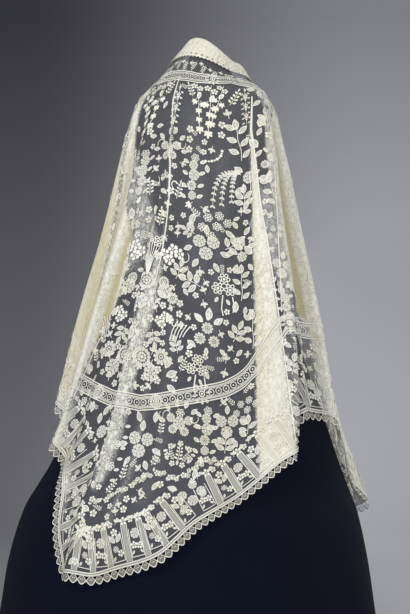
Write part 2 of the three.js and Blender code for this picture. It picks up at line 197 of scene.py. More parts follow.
FOLDS = {  # from and to are angles at the yoke and the knees, then half width, height and lean
    "front left inner": (-148, -148, 8, 44, 0.3),
    "front left outer": (-128, -128, 9, 50, -0.45),
    "left side front": (-102, -104, 8, 46, 0.5),
    "left side back": (-78, -82, 8, 42, -0.4),
    "left outer roll": (-42, -56, 9, 42, 0.5),
    "left inner roll": (-12, -34, 7, 40, 0.65),
    "left of the point": (-4, -14, 6, 12, 0.2),
    "ridge over the point": (10, 6, 5, 30, -0.5),
    "soft swell": (38, 32, 10, 12, 0),
    "right great roll": (82, 62, 8.5, 66, 0.6),
    "right small fold": (96, 80, 4.5, 28, -0.3),
    "right outer roll": (108, 105, 9, 46, -0.6),
    "front right outer": (129, 129, 8, 34, 0.4),
    "front right inner": (148, 148, 7, 40, -0.3),
}
HEM = np.array([  # place across, from -1 to 1, and the cloth's length there from collar to hem
    (-1, 905), (-0.9, 1000), (-0.8, 1035), (-0.68, 985), (-0.54, 920), (-0.4, 910), (-0.3, 950),
    (-0.2, 1010), (-0.14, 1072), (-0.09, 1122), (-0.045, 1205), (-0.01, 1320), (0.025, 1388),
    (0.07, 1386), (0.13, 1350), (0.19, 1306), (0.25, 1215), (0.32, 1146), (0.38, 1084), (0.43, 1042),
    (0.5, 940), (0.57, 895), (0.63, 885), (0.68, 930), (0.74, 995), (0.82, 1030), (0.91, 1010), (1, 925),
], float)
print("drape:", len(SECTIONS), "sections,", len(FOLDS), "folds,", len(HEM), "hem points")


# %% Smooth curves through tables
def between(values, place):
    """A smooth curve through evenly placed values."""
    last = len(values) - 1
    row = np.clip(np.floor(place), 0, last - 1).astype(int)
    t = np.clip(place, 0, last) - row
    a, b, c, d = (values[np.clip(row + k, 0, last)] for k in (-1, 0, 1, 2))
    return b + 0.5 * t * (c - a + t * (2 * a - 5 * b + 4 * c - d + t * (3 * (b - c) + d - a)))


def hem_drop(across):
    """The cloth's length at a place across, with no overshoot between the table's rows."""
    x, y = HEM.T
    slope = np.diff(y) / np.diff(x)
    lean = np.concatenate([slope[:1], np.zeros(len(x) - 2), slope[-1:]])
    same = slope[:-1] * slope[1:] > 0
    lean[1:-1][same] = 2 * slope[:-1][same] * slope[1:][same] / (slope[:-1] + slope[1:])[same]
    across = np.asarray(across, float)
    row = np.clip(np.searchsorted(x, across, side="right") - 1, 0, len(x) - 2)
    span = x[row + 1] - x[row]
    t = (across - x[row]) / span
    p, q, m, n = y[row], y[row + 1], lean[row] * span, lean[row + 1] * span
    return p + t * (m + t * (3 * (q - p) - 2 * m - n + t * (2 * (p - q) + m + n)))


def fold_rise(share, down):
    """Each fold's height at a share of the way round, from 0 between folds to 1 on a crest."""
    rise = {}
    for name, (start, end, half, _, _) in FOLDS.items():
        distance = (share * FOLD_OPEN - (start + (end - start) * down)) / half / FOLD_SPREAD
        rise[name] = np.where(np.abs(distance) < 1, 0.5 * (1 + np.cos(np.pi * distance)), 0.0)
    return rise


# %% The surface itself
def drape(share, level):
    """Points for every level and share of the way round, in millimetres."""
    table = np.array(list(SECTIONS.values()), float)
    reach = {name: between(table[:, k], level)[:, None] for k, name in enumerate(COLUMNS)}
    angle = share[None, :] * np.radians(reach["open"])
    sine, cosine = np.sin(angle), np.cos(angle)
    across = np.where(sine > 0, reach["right"], reach["left"])
    deep = np.where(cosine > 0, reach["back"], reach["front"])
    x, y = -across * sine, deep * cosine
    nx, ny = x / across**2, y / deep**2
    nx, ny = nx / np.hypot(nx, ny), ny / np.hypot(nx, ny)
    down = np.clip((level - 1) / 7, 0, 1)[:, None]  # 0 at the yoke and 1 at the knees
    out = aside = 0
    for name, rise in fold_rise(share[None, :], down).items():
        height, lean = FOLDS[name][3:]
        out = out + height * rise * reach["folds"]
        aside = aside + height * lean * rise**2 * reach["folds"]
    z = reach["z_side"] * sine**2 + np.where(cosine > 0, reach["z_back"], reach["z_front"]) * cosine**2
    y = y - reach["ahead"] + SHIFT
    return np.stack([x + nx * out - ny * aside, y + ny * out + nx * aside, z + 0 * x], -1)


def evenly(points, places):
    """The points at given shares (under 1) or lengths (in mm) along the line through some points."""
    far = np.concatenate([[0], np.cumsum(np.linalg.norm(np.diff(points, axis=0), axis=1))])
    at = places * far[-1] if places[-1] <= 1 else np.minimum(places, far[-1])
    return np.stack([np.interp(at, far, points[:, k]) for k in range(3)], -1)


ACROSS, LEVELS, DROP_STEP, DROPS = 641, 97, 10, 160
rings = drape(np.linspace(-1, 1, 3 * ACROSS), np.linspace(0, len(SECTIONS) - 1, LEVELS))
rings = np.stack([evenly(ring, np.linspace(0, 1, ACROSS)) for ring in rings])
smooth_cloth = np.stack([evenly(rings[:, i], DROP_STEP * np.arange(DROPS)) for i in range(ACROSS)])
print("cloth measured out:", smooth_cloth.shape)

# %% [markdown]
# ## Creases and layers
# Between the deep folds the net is nearly flat, with a few sharp creases from how it was stored. Each
# is a listed ridge: where it runs, how wide and how high it is. In the folds several layers of
# lace lie on each other, so the cloth looks solid and creamier there. A table of areas says where, and
# a value at each point of the net carries it to the material.

# %% Creases
CREASES = [  # (drop, place across) along the ridge, width and height in mm, and how solid it looks
    ([(120, 0.018), (190, 0.018), (295, 0.042), (360, 0.062), (450, 0.075), (525, 0.08), (590, 0.08),
              (670, 0.074)], 5, 3, 0.3),
    ([(170, 0.367), (250, 0.355), (325, 0.35), (400, 0.354)], 4, 3, 0.3),
    ([(180, 0.12), (420, 0.17), (700, 0.19)], 26, 2.5, 0.06),
    ([(260, 0.25), (520, 0.24), (900, 0.24)], 22, 2, 0.05),
    ([(700, 0.13), (1000, 0.15), (1250, 0.14)], 20, 2.5, 0.05),
    ([(900, 0.1), (1150, 0.1), (1300, 0.09)], 9, 2.5, 0.25),
    ([(380, -0.03), (560, -0.02), (700, 0.0)], 10, 2, 0.15),
    ([(1060, 0.02), (1200, 0.0), (1260, -0.01)], 8, 2, 0.3),
    ([(150, 0.45), (500, 0.39), (1060, 0.372)], 9, 3, 0),
    ([(150, 0.5), (560, 0.41), (1040, 0.4)], 8, -3, 0),
    ([(220, 0.53), (640, 0.44), (1000, 0.43)], 11, 3, 0),
    ([(200, 0.62), (600, 0.635), (900, 0.64)], 9, 3, 0),
    ([(260, 0.67), (620, 0.67), (920, 0.67)], 10, -3, 0),
    ([(160, -0.22), (500, -0.24), (900, -0.2)], 9, 3, 0),
    ([(200, -0.27), (520, -0.28), (900, -0.26)], 10, -3, 0),
    ([(200, -0.34), (560, -0.36), (880, -0.34)], 12, 3, 0),
    ([(300, -0.62), (700, -0.64), (960, -0.64)], 12, 3, 0),
    ([(280, -0.8), (700, -0.81), (980, -0.8)], 12, 3, 0),
    ([(280, 0.8), (640, 0.81), (980, 0.8)], 12, 3, 0),
    ([(220, 0.92), (640, 0.93), (900, 0.92)], 10, 3, 0),
]
FAN_RADIUS, FAN_ANGLE = 480, 1.7  # the flat cloth is laid out as a fan of this radius and angle
CREASE_END = 60  # mm over which a crease fades at both ends


def crease_at(line, width, across, drop):
    """How strongly a crease shows at places on the cloth, from 0 to 1."""
    drops, places = np.array(line, float).T
    aside = (across - np.interp(drop, drops, places)) * (FAN_RADIUS + drop) * FAN_ANGLE / 2
    inside = np.minimum(drop - drops[0], drops[-1] - drop) / CREASE_END
    return np.exp(-((aside / width) ** 2)) * np.clip(inside, 0, 1)


def outward_of(cloth):
    """The outward direction at every point of the measured cloth."""
    fall = np.gradient(cloth, axis=1)
    around = np.gradient(cloth, axis=0)
    normal = np.cross(fall, around)
    return normal / np.maximum(np.linalg.norm(normal, axis=-1, keepdims=True), 1e-9)


grid_across = np.linspace(-1, 1, ACROSS)[:, None]
grid_drop = (DROP_STEP * np.arange(DROPS))[None, :]
lift = sum(height * crease_at(line, width, grid_across, grid_drop) for line, width, height, _ in CREASES)
cloth = smooth_cloth + outward_of(smooth_cloth) * lift[..., None]
outward = outward_of(cloth)
print("creases:", len(CREASES), "highest", round(float(lift.max()), 1), "mm")

# %% Areas where the cloth lies in layers
LAYERS = {  # rows of drop, left and right place across, then how solid the area looks and its soft edge
    "right great roll": ([(230, 0.352, 0.357), (330, 0.349, 0.366), (430, 0.346, 0.372),
                          (535, 0.342, 0.384), (670, 0.339, 0.391), (880, 0.337, 0.405),
                          (980, 0.337, 0.409), (1115, 0.35, 0.422)], 0.97, 0.003),
    "grey window beside it": ([(400, 0.37, 0.425), (520, 0.38, 0.42), (620, 0.39, 0.41)], 0.3, 0.008),
    "right outer roll": ([(100, 0.55, 0.73), (170, 0.53, 0.73), (260, 0.45, 0.73), (420, 0.43, 0.72),
                          (560, 0.43, 0.72), (600, 0.49, 0.72), (630, 0.535, 0.72),
                          (665, 0.592, 0.72), (705, 0.607, 0.72), (850, 0.622, 0.7),
                          (930, 0.624, 0.7)], 0.88, 0.006),
    "right lower corner": ([(900, 0.6, 0.7), (1080, 0.6, 0.7)], 0.4, 0.01),
    "left inner roll": ([(100, -0.24, -0.19), (240, -0.235, -0.2), (420, -0.225, -0.14),
                         (510, -0.225, -0.075), (625, -0.225, -0.05), (725, -0.21, -0.058),
                         (815, -0.2, -0.1), (960, -0.2, -0.126), (1110, -0.2, -0.122)], 0.9, 0.008),
    "left valley": ([(100, -0.31, -0.24), (960, -0.31, -0.2)], 1.0, 0.02),
    "left outer roll": ([(100, -0.43, -0.29), (420, -0.43, -0.29), (960, -0.43, -0.27)], 0.9, 0.01),
    "left doubled layer": ([(300, -0.2, -0.13), (400, -0.2, -0.05), (475, -0.2, -0.005),
                            (545, -0.2, 0.06), (585, -0.2, 0.04), (610, -0.2, -0.01),
                            (660, -0.13, -0.06)], 0.42, 0.012),
    "left point edge": ([(1060, -0.13, -0.1), (1180, -0.08, -0.035), (1330, -0.03, -0.012)], 0.75, 0.01),
    "ridge over the point": ([(600, 0.066, 0.09), (735, 0.046, 0.084), (825, 0.04, 0.076),
                              (900, 0.034, 0.068), (1035, 0.03, 0.064), (1130, 0.034, 0.058),
                              (1180, 0.04, 0.05)], 0.74, 0.006),
    "left side back": ([(120, -0.54, -0.47), (960, -0.57, -0.46)], 0.85, 0.02),
    "left side front": ([(120, -0.69, -0.6), (980, -0.7, -0.6)], 0.85, 0.02),
    "front left outer": ([(120, -0.85, -0.75), (1040, -0.85, -0.75)], 0.85, 0.02),
    "front left inner": ([(120, -0.97, -0.88), (1040, -0.97, -0.88)], 0.85, 0.02),
    "front right outer": ([(120, 0.75, 0.85), (1040, 0.75, 0.85)], 0.85, 0.02),
    "front right inner": ([(120, 0.88, 0.96), (1040, 0.88, 0.96)], 0.85, 0.02),
}


AREA_END = 30  # mm over which an area fades at its top and foot


def in_area(rows, edge, across, drop):
    """1 inside an area given by rows, falling to 0 over its soft edge."""
    drops, lefts, rights = np.array(rows, float).T
    inside = np.minimum(across - np.interp(drop, drops, lefts), np.interp(drop, drops, rights) - across)
    ends = np.minimum(drop - drops[0], drops[-1] - drop) / AREA_END
    return np.clip(0.5 + inside / edge / 2, 0, 1) * np.clip(0.5 + ends, 0, 1)


def solid_at(across, drop):
    """How solid the cloth looks, from 0 for one layer of net to 1 for many layers of lace."""
    shown = np.zeros(np.broadcast(across, drop).shape)
    for rows, solid, edge in LAYERS.values():
        shown = np.maximum(shown, solid * in_area(rows, edge, across, drop))
    for line, width, _, solid in CREASES:
        shown = np.maximum(shown, solid * crease_at(line, width, across, drop))
    return shown


def on_grid(values, across, drop):
    """A value of the measured cloth at any places, straight between its points."""
    a = np.clip((np.asarray(across, float) + 1) / 2, 0, 1) * (ACROSS - 1)
    d = np.clip(np.asarray(drop, float) / DROP_STEP, 0, DROPS - 1)
    i, k = np.minimum(a.astype(int), ACROSS - 2), np.minimum(d.astype(int), DROPS - 2)
    s, t = (a - i)[..., None], (d - k)[..., None]
    upper = values[i, k] * (1 - s) + values[i + 1, k] * s
    lower = values[i, k + 1] * (1 - s) + values[i + 1, k + 1] * s
    return upper * (1 - t) + lower * t


def to_flat(across, drop):
    """Where a place on the cloth lies in the flat, in mm: x to the wearer's right and y down."""
    angle = np.asarray(across) * FAN_ANGLE / 2
    return np.stack([(FAN_RADIUS + drop) * np.sin(angle), (FAN_RADIUS + drop) * np.cos(angle)], -1)


# The depth of a hollow sets painted shade: the net is darkened towards olive where it dips between folds.
HOLLOW_REACH, HOLLOW_FULL = 13, 12.0  # columns to both sides, and mm of depth at which a hollow is darkest


def hollow_of(cloth, outward):
    """How far each point lies in a hollow between folds, from 0 on open cloth to 1 deep down."""
    low, high = np.roll(cloth, HOLLOW_REACH, axis=0), np.roll(cloth, -HOLLOW_REACH, axis=0)
    deep = np.sum((0.5 * (low + high) - cloth) * outward, axis=-1)
    deep[:HOLLOW_REACH] = deep[-HOLLOW_REACH:] = 0
    return np.clip((deep - 1.0) / HOLLOW_FULL, 0, 1)


# %% Hollows between folds, darkened to an olive tone as painted shade
SHADED_HOLLOWS = {  # rows of drop, left and right place across, then how deep the tone is and its soft edge
    "beside the left inner roll": ([(150, -0.285, -0.24), (420, -0.285, -0.235),
                                    (960, -0.27, -0.205)], 0.7, 0.03),
    "left of the great roll": ([(230, 0.352, 0.354), (1115, 0.34, 0.352)], 0.35, 0.012),
    "under the right shoulder": ([(420, 0.575, 0.6), (760, 0.575, 0.6)], 0.38, 0.03),
}


# Painted shade: deep where the cloth dips between folds, and in the listed areas beside the rolls.
hollow = hollow_of(cloth, outward)
for rows, tone, edge in SHADED_HOLLOWS.values():
    hollow = np.maximum(hollow, tone * in_area(rows, edge, grid_across, grid_drop))
print("layered areas:", len(LAYERS), "share in hollows", round(float((hollow > 0.3).mean()), 3))


# %% [markdown]
# ## Lace materials
# Thread is matt and cream-white with a soft sheen. One shader group gives every lace piece the same
# small unevenness of thread: a fine grain, and larger patches where the cotton has aged. The net has a
# material of its own, because its strength depends on how many layers lie there, and it carries painted
# shade in the hollows between folds.

# %% Thread grain, shared by all lace
THREAD_GRAIN, NET_GRAIN = 420.0, 300.0  # grains per metre


def shader_group(name, inputs, outputs):
    """A shader group with float sockets, what it is given, and the object coordinates in it."""
    tree = bpy.data.node_groups.new(name, "ShaderNodeTree")
    for label, value in inputs.items():
        tree.interface.new_socket(label, in_out="INPUT", socket_type="NodeSocketFloat").default_value = value
    for label in outputs:
        tree.interface.new_socket(label, in_out="OUTPUT", socket_type="NodeSocketFloat")
    place = node(tree, "ShaderNodeTexCoord").outputs["Object"]
    return tree, node(tree, "NodeGroupInput").outputs, place


def make_thread_grain():
    """A fine grain in the thread, and larger patches where the cotton has aged."""
    given_values = {"Grain per metre": THREAD_GRAIN, "Patches per metre": 9.0, "Depth": 0.3}
    tree, given, place = shader_group("Thread grain", given_values, ("Mask", "Height", "Aged"))
    grain, patches = given["Grain per metre"], given["Patches per metre"]
    fine = node(tree, "ShaderNodeTexNoise", {"Vector": place, "Scale": grain, "Detail": 2.0})
    cells = node(tree, "ShaderNodeTexVoronoi", {"Vector": place, "Scale": grain})
    broad = node(tree, "ShaderNodeTexNoise", {"Vector": place, "Scale": patches, "Detail": 3.0})
    height = maths(tree, "ADD", fine.outputs["Fac"], cells.outputs["Distance"])
    mask = maths(tree, "MULTIPLY_ADD", maths(tree, "SUBTRACT", height, 0.9), given["Depth"], 1.0)
    aged = mapped(tree, broad.outputs["Fac"], 0.35, 0.7)
    node(tree, "NodeGroupOutput", {"Mask": mask, "Height": height, "Aged": aged})
    return tree


thread_grain = make_thread_grain()
print("group:", thread_grain.name)


# %% Parts that the materials share
def new_material(name, rough, sheen, specular):
    """A material, its tree and its shader's inputs."""
    made = bpy.data.materials.new(name)
    made.use_nodes = True
    shader = made.node_tree.nodes["Principled BSDF"].inputs
    shader["Roughness"].default_value = rough
    shader["Sheen Weight"].default_value = sheen
    shader["Specular IOR Level"].default_value = specular
    return made, made.node_tree, shader


def mixed(tree, factor, first, second):
    """A mix of two colours, each given as a value or as a node's output."""
    mix = node(tree, "ShaderNodeMix", data_type="RGBA")
    tree.links.new(factor, mix.inputs["Factor"])
    for key, value in (("A", first), ("B", second)):
        if isinstance(value, tuple):
            mix.inputs[key].default_value = (*value, 1)
        else:
            tree.links.new(value, mix.inputs[key])
    return mix.outputs["Result"]


def add_bump(tree, shader, height, strength, distance):
    bumped = node(tree, "ShaderNodeBump", {"Height": height, "Strength": strength, "Distance": distance})
    tree.links.new(bumped.outputs["Normal"], shader["Normal"])


# %% Thread work
def lace_material(name, clean, aged, strength_of, bump=0.25):
    """Thread in two tones. strength_of adds nodes and returns the outputs for the tone and the alpha."""
    made, tree, shader = new_material(name, rough=0.85, sheen=0.35, specular=0.2)
    grain = node(tree, "ShaderNodeGroup", {"Grain per metre": THREAD_GRAIN}, node_tree=thread_grain).outputs
    tone, alpha = strength_of(tree, grain)
    tree.links.new(mixed(tree, tone, clean, aged), shader["Base Color"])
    tree.links.new(alpha, shader["Alpha"])
    add_bump(tree, shader, grain["Height"], bump, 0.0006)
    return made


def thread_strength(between_outlines):
    """Thread work is thick along its outlines and more open between them."""
    def strength_of(tree, grain):
        rim = node(tree, "ShaderNodeAttribute", attribute_name="rim").outputs["Fac"]
        shown = mapped(tree, rim, from_max=0.8, to_min=between_outlines)
        return grain["Aged"], maths(tree, "MULTIPLY", shown, grain["Mask"], clamp=True)
    return strength_of


THREAD_CLEAN, THREAD_AGED = (0.84, 0.83, 0.76), (0.76, 0.73, 0.6)
EDGING_CLEAN, EDGING_AGED = (0.84, 0.82, 0.74), (0.76, 0.72, 0.57)
COLLAR_CLEAN, COLLAR_GAPS = (0.83, 0.81, 0.72), (0.6, 0.57, 0.42)
thread_material = lace_material("thread_work", THREAD_CLEAN, THREAD_AGED, thread_strength(0.3))
edging_material = lace_material("edging_thread", EDGING_CLEAN, EDGING_AGED, thread_strength(0.14))


# %% Lace seen through lace
def make_crowded_lace():
    """The confused pattern of flowers and outlines where several layers of lace lie on each other."""
    tree, given, place = shader_group("Crowded lace", {"Flowers per metre": 60.0}, ("Mask", "Stain"))
    squeezed = vector_maths(tree, "MULTIPLY", place, (1.5, 1.5, 0.8))
    found = []
    for share, feature, near, far in ((1.0, "F1", 0.3, 0.5), (2.7, "F1", 0.26, 0.46),
                                      (1.7, "DISTANCE_TO_EDGE", 0.02, 0.09)):
        scale = maths(tree, "MULTIPLY", given["Flowers per metre"], share)
        cells = node(tree, "ShaderNodeTexVoronoi", {"Vector": squeezed, "Scale": scale}, feature=feature)
        found.append(mapped(tree, cells.outputs["Distance"], near, far, 1.0, 0.0))
    flowers = maths(tree, "MAXIMUM", found[0], found[1])
    mask = maths(tree, "MAXIMUM", flowers, found[2])
    stretched = vector_maths(tree, "MULTIPLY", place, (14.0, 14.0, 3.5))
    patches = node(tree, "ShaderNodeTexNoise", {"Vector": stretched, "Scale": 1.0, "Detail": 3.0})
    stain = mapped(tree, patches.outputs["Fac"], 0.48, 0.72)
    node(tree, "NodeGroupOutput", {"Mask": mask, "Stain": stain})
    return tree


crowded_lace = make_crowded_lace()

# %% The net's material
NET_THIN, NET_THICK = 0.12, 0.99  # how much one layer of net covers, and how much many layers do
NET_COOL, FOLD_GROUND, FOLD_FLOWER = (0.6, 0.61, 0.64), (0.7, 0.68, 0.56), (0.81, 0.795, 0.7)
# The second colour is painted shade, the olive tone of the hollows between folds.
FOLD_STAIN, FOLD_SHADE = (0.6, 0.56, 0.38), (0.46, 0.41, 0.21)


def make_net_material():
    """One layer of net lets most light through. A fold shows flowers through flowers, and hardly any."""
    made, tree, shader = new_material("net_ground", rough=0.85, sheen=0.3, specular=0.15)
    layers = node(tree, "ShaderNodeAttribute", attribute_name="layers").outputs["Fac"]
    hollow = node(tree, "ShaderNodeAttribute", attribute_name="hollow").outputs["Fac"]
    grain = node(tree, "ShaderNodeGroup", {"Grain per metre": NET_GRAIN}, node_tree=thread_grain).outputs
    lace = node(tree, "ShaderNodeGroup", node_tree=crowded_lace).outputs
    stained = mixed(tree, lace["Stain"], FOLD_GROUND, FOLD_STAIN)
    folded = mixed(tree, lace["Mask"], stained, FOLD_FLOWER)
    # Painted shade: the hollows between folds are darkened towards an olive tone.
    shaded = mixed(tree, hollow, folded, FOLD_SHADE)
    tree.links.new(mixed(tree, layers, NET_COOL, shaded), shader["Base Color"])
    flowers = maths(tree, "MULTIPLY", layers, mapped(tree, lace["Mask"], to_min=0.3, to_max=1.25))
    dense = mapped(tree, layers, 0.55, 0.93, to_max=0.94)
    thick = maths(tree, "MAXIMUM", flowers, dense, clamp=True)
    shown = mapped(tree, thick, to_min=NET_THIN, to_max=NET_THICK)
    tree.links.new(maths(tree, "MULTIPLY", shown, grain["Mask"], clamp=True), shader["Alpha"])
    add_bump(tree, shader, maths(tree, "MULTIPLY", lace["Mask"], layers), 0.2, 0.001)
    return made


net_material = make_net_material()
print("materials:", ", ".join(m.name for m in bpy.data.materials))


# %% Covers of the form
def cloth_cover(name, dark, light, sheen):
    """Smooth dark cloth over a form: a fine weave in the bump and slightly uneven dye."""
    made, tree, shader = new_material(name, rough=0.9, sheen=sheen, specular=0.06)
    place = node(tree, "ShaderNodeTexCoord").outputs["Object"]
    dye = node(tree, "ShaderNodeTexNoise", {"Vector": place, "Scale": 3.5, "Detail": 4.0}).outputs["Fac"]
    tree.links.new(mixed(tree, dye, dark, light), shader["Base Color"])
    weave = {"Vector": place, "Scale": 900.0, "Distortion": 1.5}
    threads = node(tree, "ShaderNodeTexWave", weave, bands_direction="Z").outputs["Fac"]
    add_bump(tree, shader, threads, 0.15, 0.0004)
    return made


torso_material = cloth_cover("torso_cover", (0.011, 0.012, 0.016), (0.02, 0.021, 0.028), sheen=0.04)
bell_material = cloth_cover("bell_cover", (0.002, 0.003, 0.008), (0.0045, 0.0065, 0.0165), sheen=0.02)

# %% [markdown]
# ## The net ground
# The net is one sheet. Its rows share out the length from the collar's fold to the hem, so the cut edge
# follows the hem exactly. A sheet of quads in code is simpler here than a simulation, because the folds
# have to be where the photograph shows them.

# %% The net
NET_COLUMNS, NET_ROWS = 620, 130
FLAT_SIZE = 4.0  # metres of flat cloth in the UV square


def to_uv(flat):
    """Flat places, in mm, as places in the UV square."""
    return flat.reshape(-1, 2) / (1000 * FLAT_SIZE) + (0.5, 0)


def make_net():
    across = np.linspace(-1, 1, NET_COLUMNS + 1)[:, None]
    drop = hem_drop(across) * np.linspace(0, 1, NET_ROWS + 1)[None, :]
    across = across + 0 * drop
    values = {"layers": solid_at(across, drop).ravel(),
              "hollow": on_grid(hollow[..., None], across, drop).ravel()}
    made = mesh_object("net_ground", on_grid(cloth, across, drop).reshape(-1, 3) * MM,
                       grid_faces(NET_COLUMNS, NET_ROWS), values, to_uv(to_flat(across, drop)))
    make_smooth(made)
    made.data.materials.append(net_material)
    return made


net = make_net()
net_area = sum(p.area for p in net.data.polygons)
print("net:", len(net.data.polygons), "quads,", round(net_area, 2), "square metres")

# %% [markdown]
# ## Sewing flat work onto the drape
# Applied lace is made flat and then sewn to the net, so it is modelled flat too. A Geometry Nodes tree
# looks up each flat point in a helper mesh that has the same fan as its UV map, moves it to that place on
# the drape and lifts it a little off the net. A second tree first puts a copy of a motif on every mark,
# with the mark's own turn and size. The trees take their sizes as named inputs.

# %% Helper mesh of the drape
def make_drape_helper():
    flat = to_flat(grid_across + 0 * grid_drop, grid_drop + 0 * grid_across)
    return mesh_object("drape_helper", cloth.reshape(-1, 3) * MM, grid_faces(ACROSS - 1, DROPS - 1),
                       {"outward": outward.reshape(-1, 3)}, to_uv(flat))


helper = make_drape_helper()


# %% Tree that sews flat work on
SEWN_INPUTS = (("Drape", "Object"), ("Flat size", "Float"), ("Lift", "Float"), ("Material", "Material"))


def tree_with(name, inputs):
    tree = bpy.data.node_groups.new(name, "GeometryNodeTree")
    tree.interface.new_socket("Geometry", in_out="INPUT", socket_type="NodeSocketGeometry")
    for label, kind in inputs:
        tree.interface.new_socket(label, in_out="INPUT", socket_type="NodeSocket" + kind)
    tree.interface.new_socket("Geometry", in_out="OUTPUT", socket_type="NodeSocketGeometry")
    return tree, node(tree, "NodeGroupInput").outputs


def named_value(tree, name, kind):
    return node(tree, "GeometryNodeInputNamedAttribute", {"Name": name}, data_type=kind).outputs[0]


def make_sewing_tree():
    """Moves flat points to their places on the drape. The flat height becomes the height above the net."""
    tree, given = tree_with("Sewn onto the drape", SEWN_INPUTS[:-1])
    drape_mesh = node(tree, "GeometryNodeObjectInfo", {"Object": given["Drape"]}).outputs["Geometry"]
    place = node(tree, "GeometryNodeInputPosition").outputs[0]
    spot_uv = vector_maths(tree, "ADD", vector_maths(tree, "DIVIDE", place, given["Flat size"]), (0.5, 0, 0))
    flat = named_value(tree, "flat", "FLOAT_VECTOR")
    found = []
    for value in (place, named_value(tree, "outward", "FLOAT_VECTOR")):
        sample = node(tree, "GeometryNodeSampleUVSurface", data_type="FLOAT_VECTOR")
        for key, source in (("Mesh", drape_mesh), ("Value", value), ("UV Map", flat), ("Sample UV", spot_uv)):
            tree.links.new(source, sample.inputs[key])
        found.append(sample.outputs)
    off = node(tree, "FunctionNodeBooleanMath", {0: found[0]["Is Valid"]}, operation="NOT").outputs[0]
    kept = node(tree, "GeometryNodeDeleteGeometry", {"Geometry": given["Geometry"], "Selection": off})
    height = node(tree, "ShaderNodeSeparateXYZ", {0: place}).outputs["Z"]
    lifted = maths(tree, "ADD", height, given["Lift"])
    away = node(tree, "ShaderNodeVectorMath", {0: found[1][0], "Scale": lifted}, operation="SCALE").outputs[0]
    goal = vector_maths(tree, "ADD", found[0][0], away)
    laid = node(tree, "GeometryNodeSetPosition", {"Geometry": kept.outputs[0], "Position": goal})
    node(tree, "NodeGroupOutput", {0: laid.outputs[0]})
    return tree


sewing = make_sewing_tree()


# %% Trees for single work and for repeated motifs
def end_sewn(tree, given, geometry):
    """The end of a tree: real geometry, sewn on, with its material."""
    whole = node(tree, "GeometryNodeRealizeInstances", {"Geometry": geometry}).outputs[0]
    group = node(tree, "GeometryNodeGroup", node_tree=sewing)
    tree.links.new(whole, group.inputs["Geometry"])
    for key in ("Drape", "Flat size", "Lift"):
        tree.links.new(given[key], group.inputs[key])
    painted = node(tree, "GeometryNodeSetMaterial",
                   {"Geometry": group.outputs[0], "Material": given["Material"]})
    node(tree, "NodeGroupOutput", {0: painted.outputs[0]})


def make_work_tree():
    tree, given = tree_with("Flat work", SEWN_INPUTS)
    end_sewn(tree, given, given["Geometry"])
    return tree


def make_motif_tree():
    tree, given = tree_with("Motifs on marks", (("Motif", "Object"), *SEWN_INPUTS))
    motif = node(tree, "GeometryNodeObjectInfo", {"Object": given["Motif"]}).outputs["Geometry"]
    about_z = node(tree, "ShaderNodeCombineXYZ", {"Z": named_value(tree, "turn", "FLOAT")}).outputs[0]
    rotation = node(tree, "FunctionNodeEulerToRotation", {0: about_z}).outputs[0]
    size = named_value(tree, "size", "FLOAT")
    copies = node(tree, "GeometryNodeInstanceOnPoints",
                  {"Points": given["Geometry"], "Instance": motif, "Rotation": rotation, "Scale": size})
    end_sewn(tree, given, copies.outputs[0])
    return tree


work_tree, motif_tree = make_work_tree(), make_motif_tree()
LIFT = 0.0012  # metres between the net and what is sewn to it


def run_tree(source, tree, name, values):
    """Runs a tree on an object and keeps the result as a plain mesh under a new name."""
    modifier = source.modifiers.new("tree", "NODES")
    modifier.node_group = tree
    for item in tree.interface.items_tree:
        if item.in_out == "INPUT" and item.name in values:
            modifier[item.identifier] = values[item.name]
    bpy.context.view_layer.update()
    shown = source.evaluated_get(bpy.context.evaluated_depsgraph_get())
    mesh = bpy.data.meshes.new_from_object(shown)
    mesh.name = name
    bpy.data.objects.remove(source)
    made = bpy.data.objects.new(name, mesh)
    scene.collection.objects.link(made)
    return made


# %% [markdown]
# ## Thread work in the flat
# Every flower and leaf on the real shawl is made of small outlined shapes. One small class collects such
# shapes: a plate with a raised rim and a thinner middle, a ring, and a strip that follows a line. x runs to
# the right, y down the cloth and the height away from it, in millimetres.

# %% Stitching
RIM_HEIGHT, MIDDLE_HEIGHT = 0.9, 0.35


def circle(x, y, radius, sides, start=0.0):
    turn = start + 2 * np.pi * np.arange(sides) / sides
    return np.stack([x + radius * np.cos(turn), y + radius * np.sin(turn)], -1)


def petal(x, y, heading, length, width, sides=8, point=1.0, tip=0.0):
    """A petal or leaf that grows from a root point. point above 1 sharpens it, tip widens its far end."""
    t = 2 * np.pi * np.arange(sides) / sides
    run = 0.5 - 0.5 * np.cos(t)
    aside = np.sign(np.sin(t)) * np.abs(np.sin(t)) ** point * width / 2 * (1 + tip * (2 * run - 1))
    c, s = math.cos(heading), math.sin(heading)
    return np.stack([x + length * run * c - aside * s, y + length * run * s + aside * c], -1)


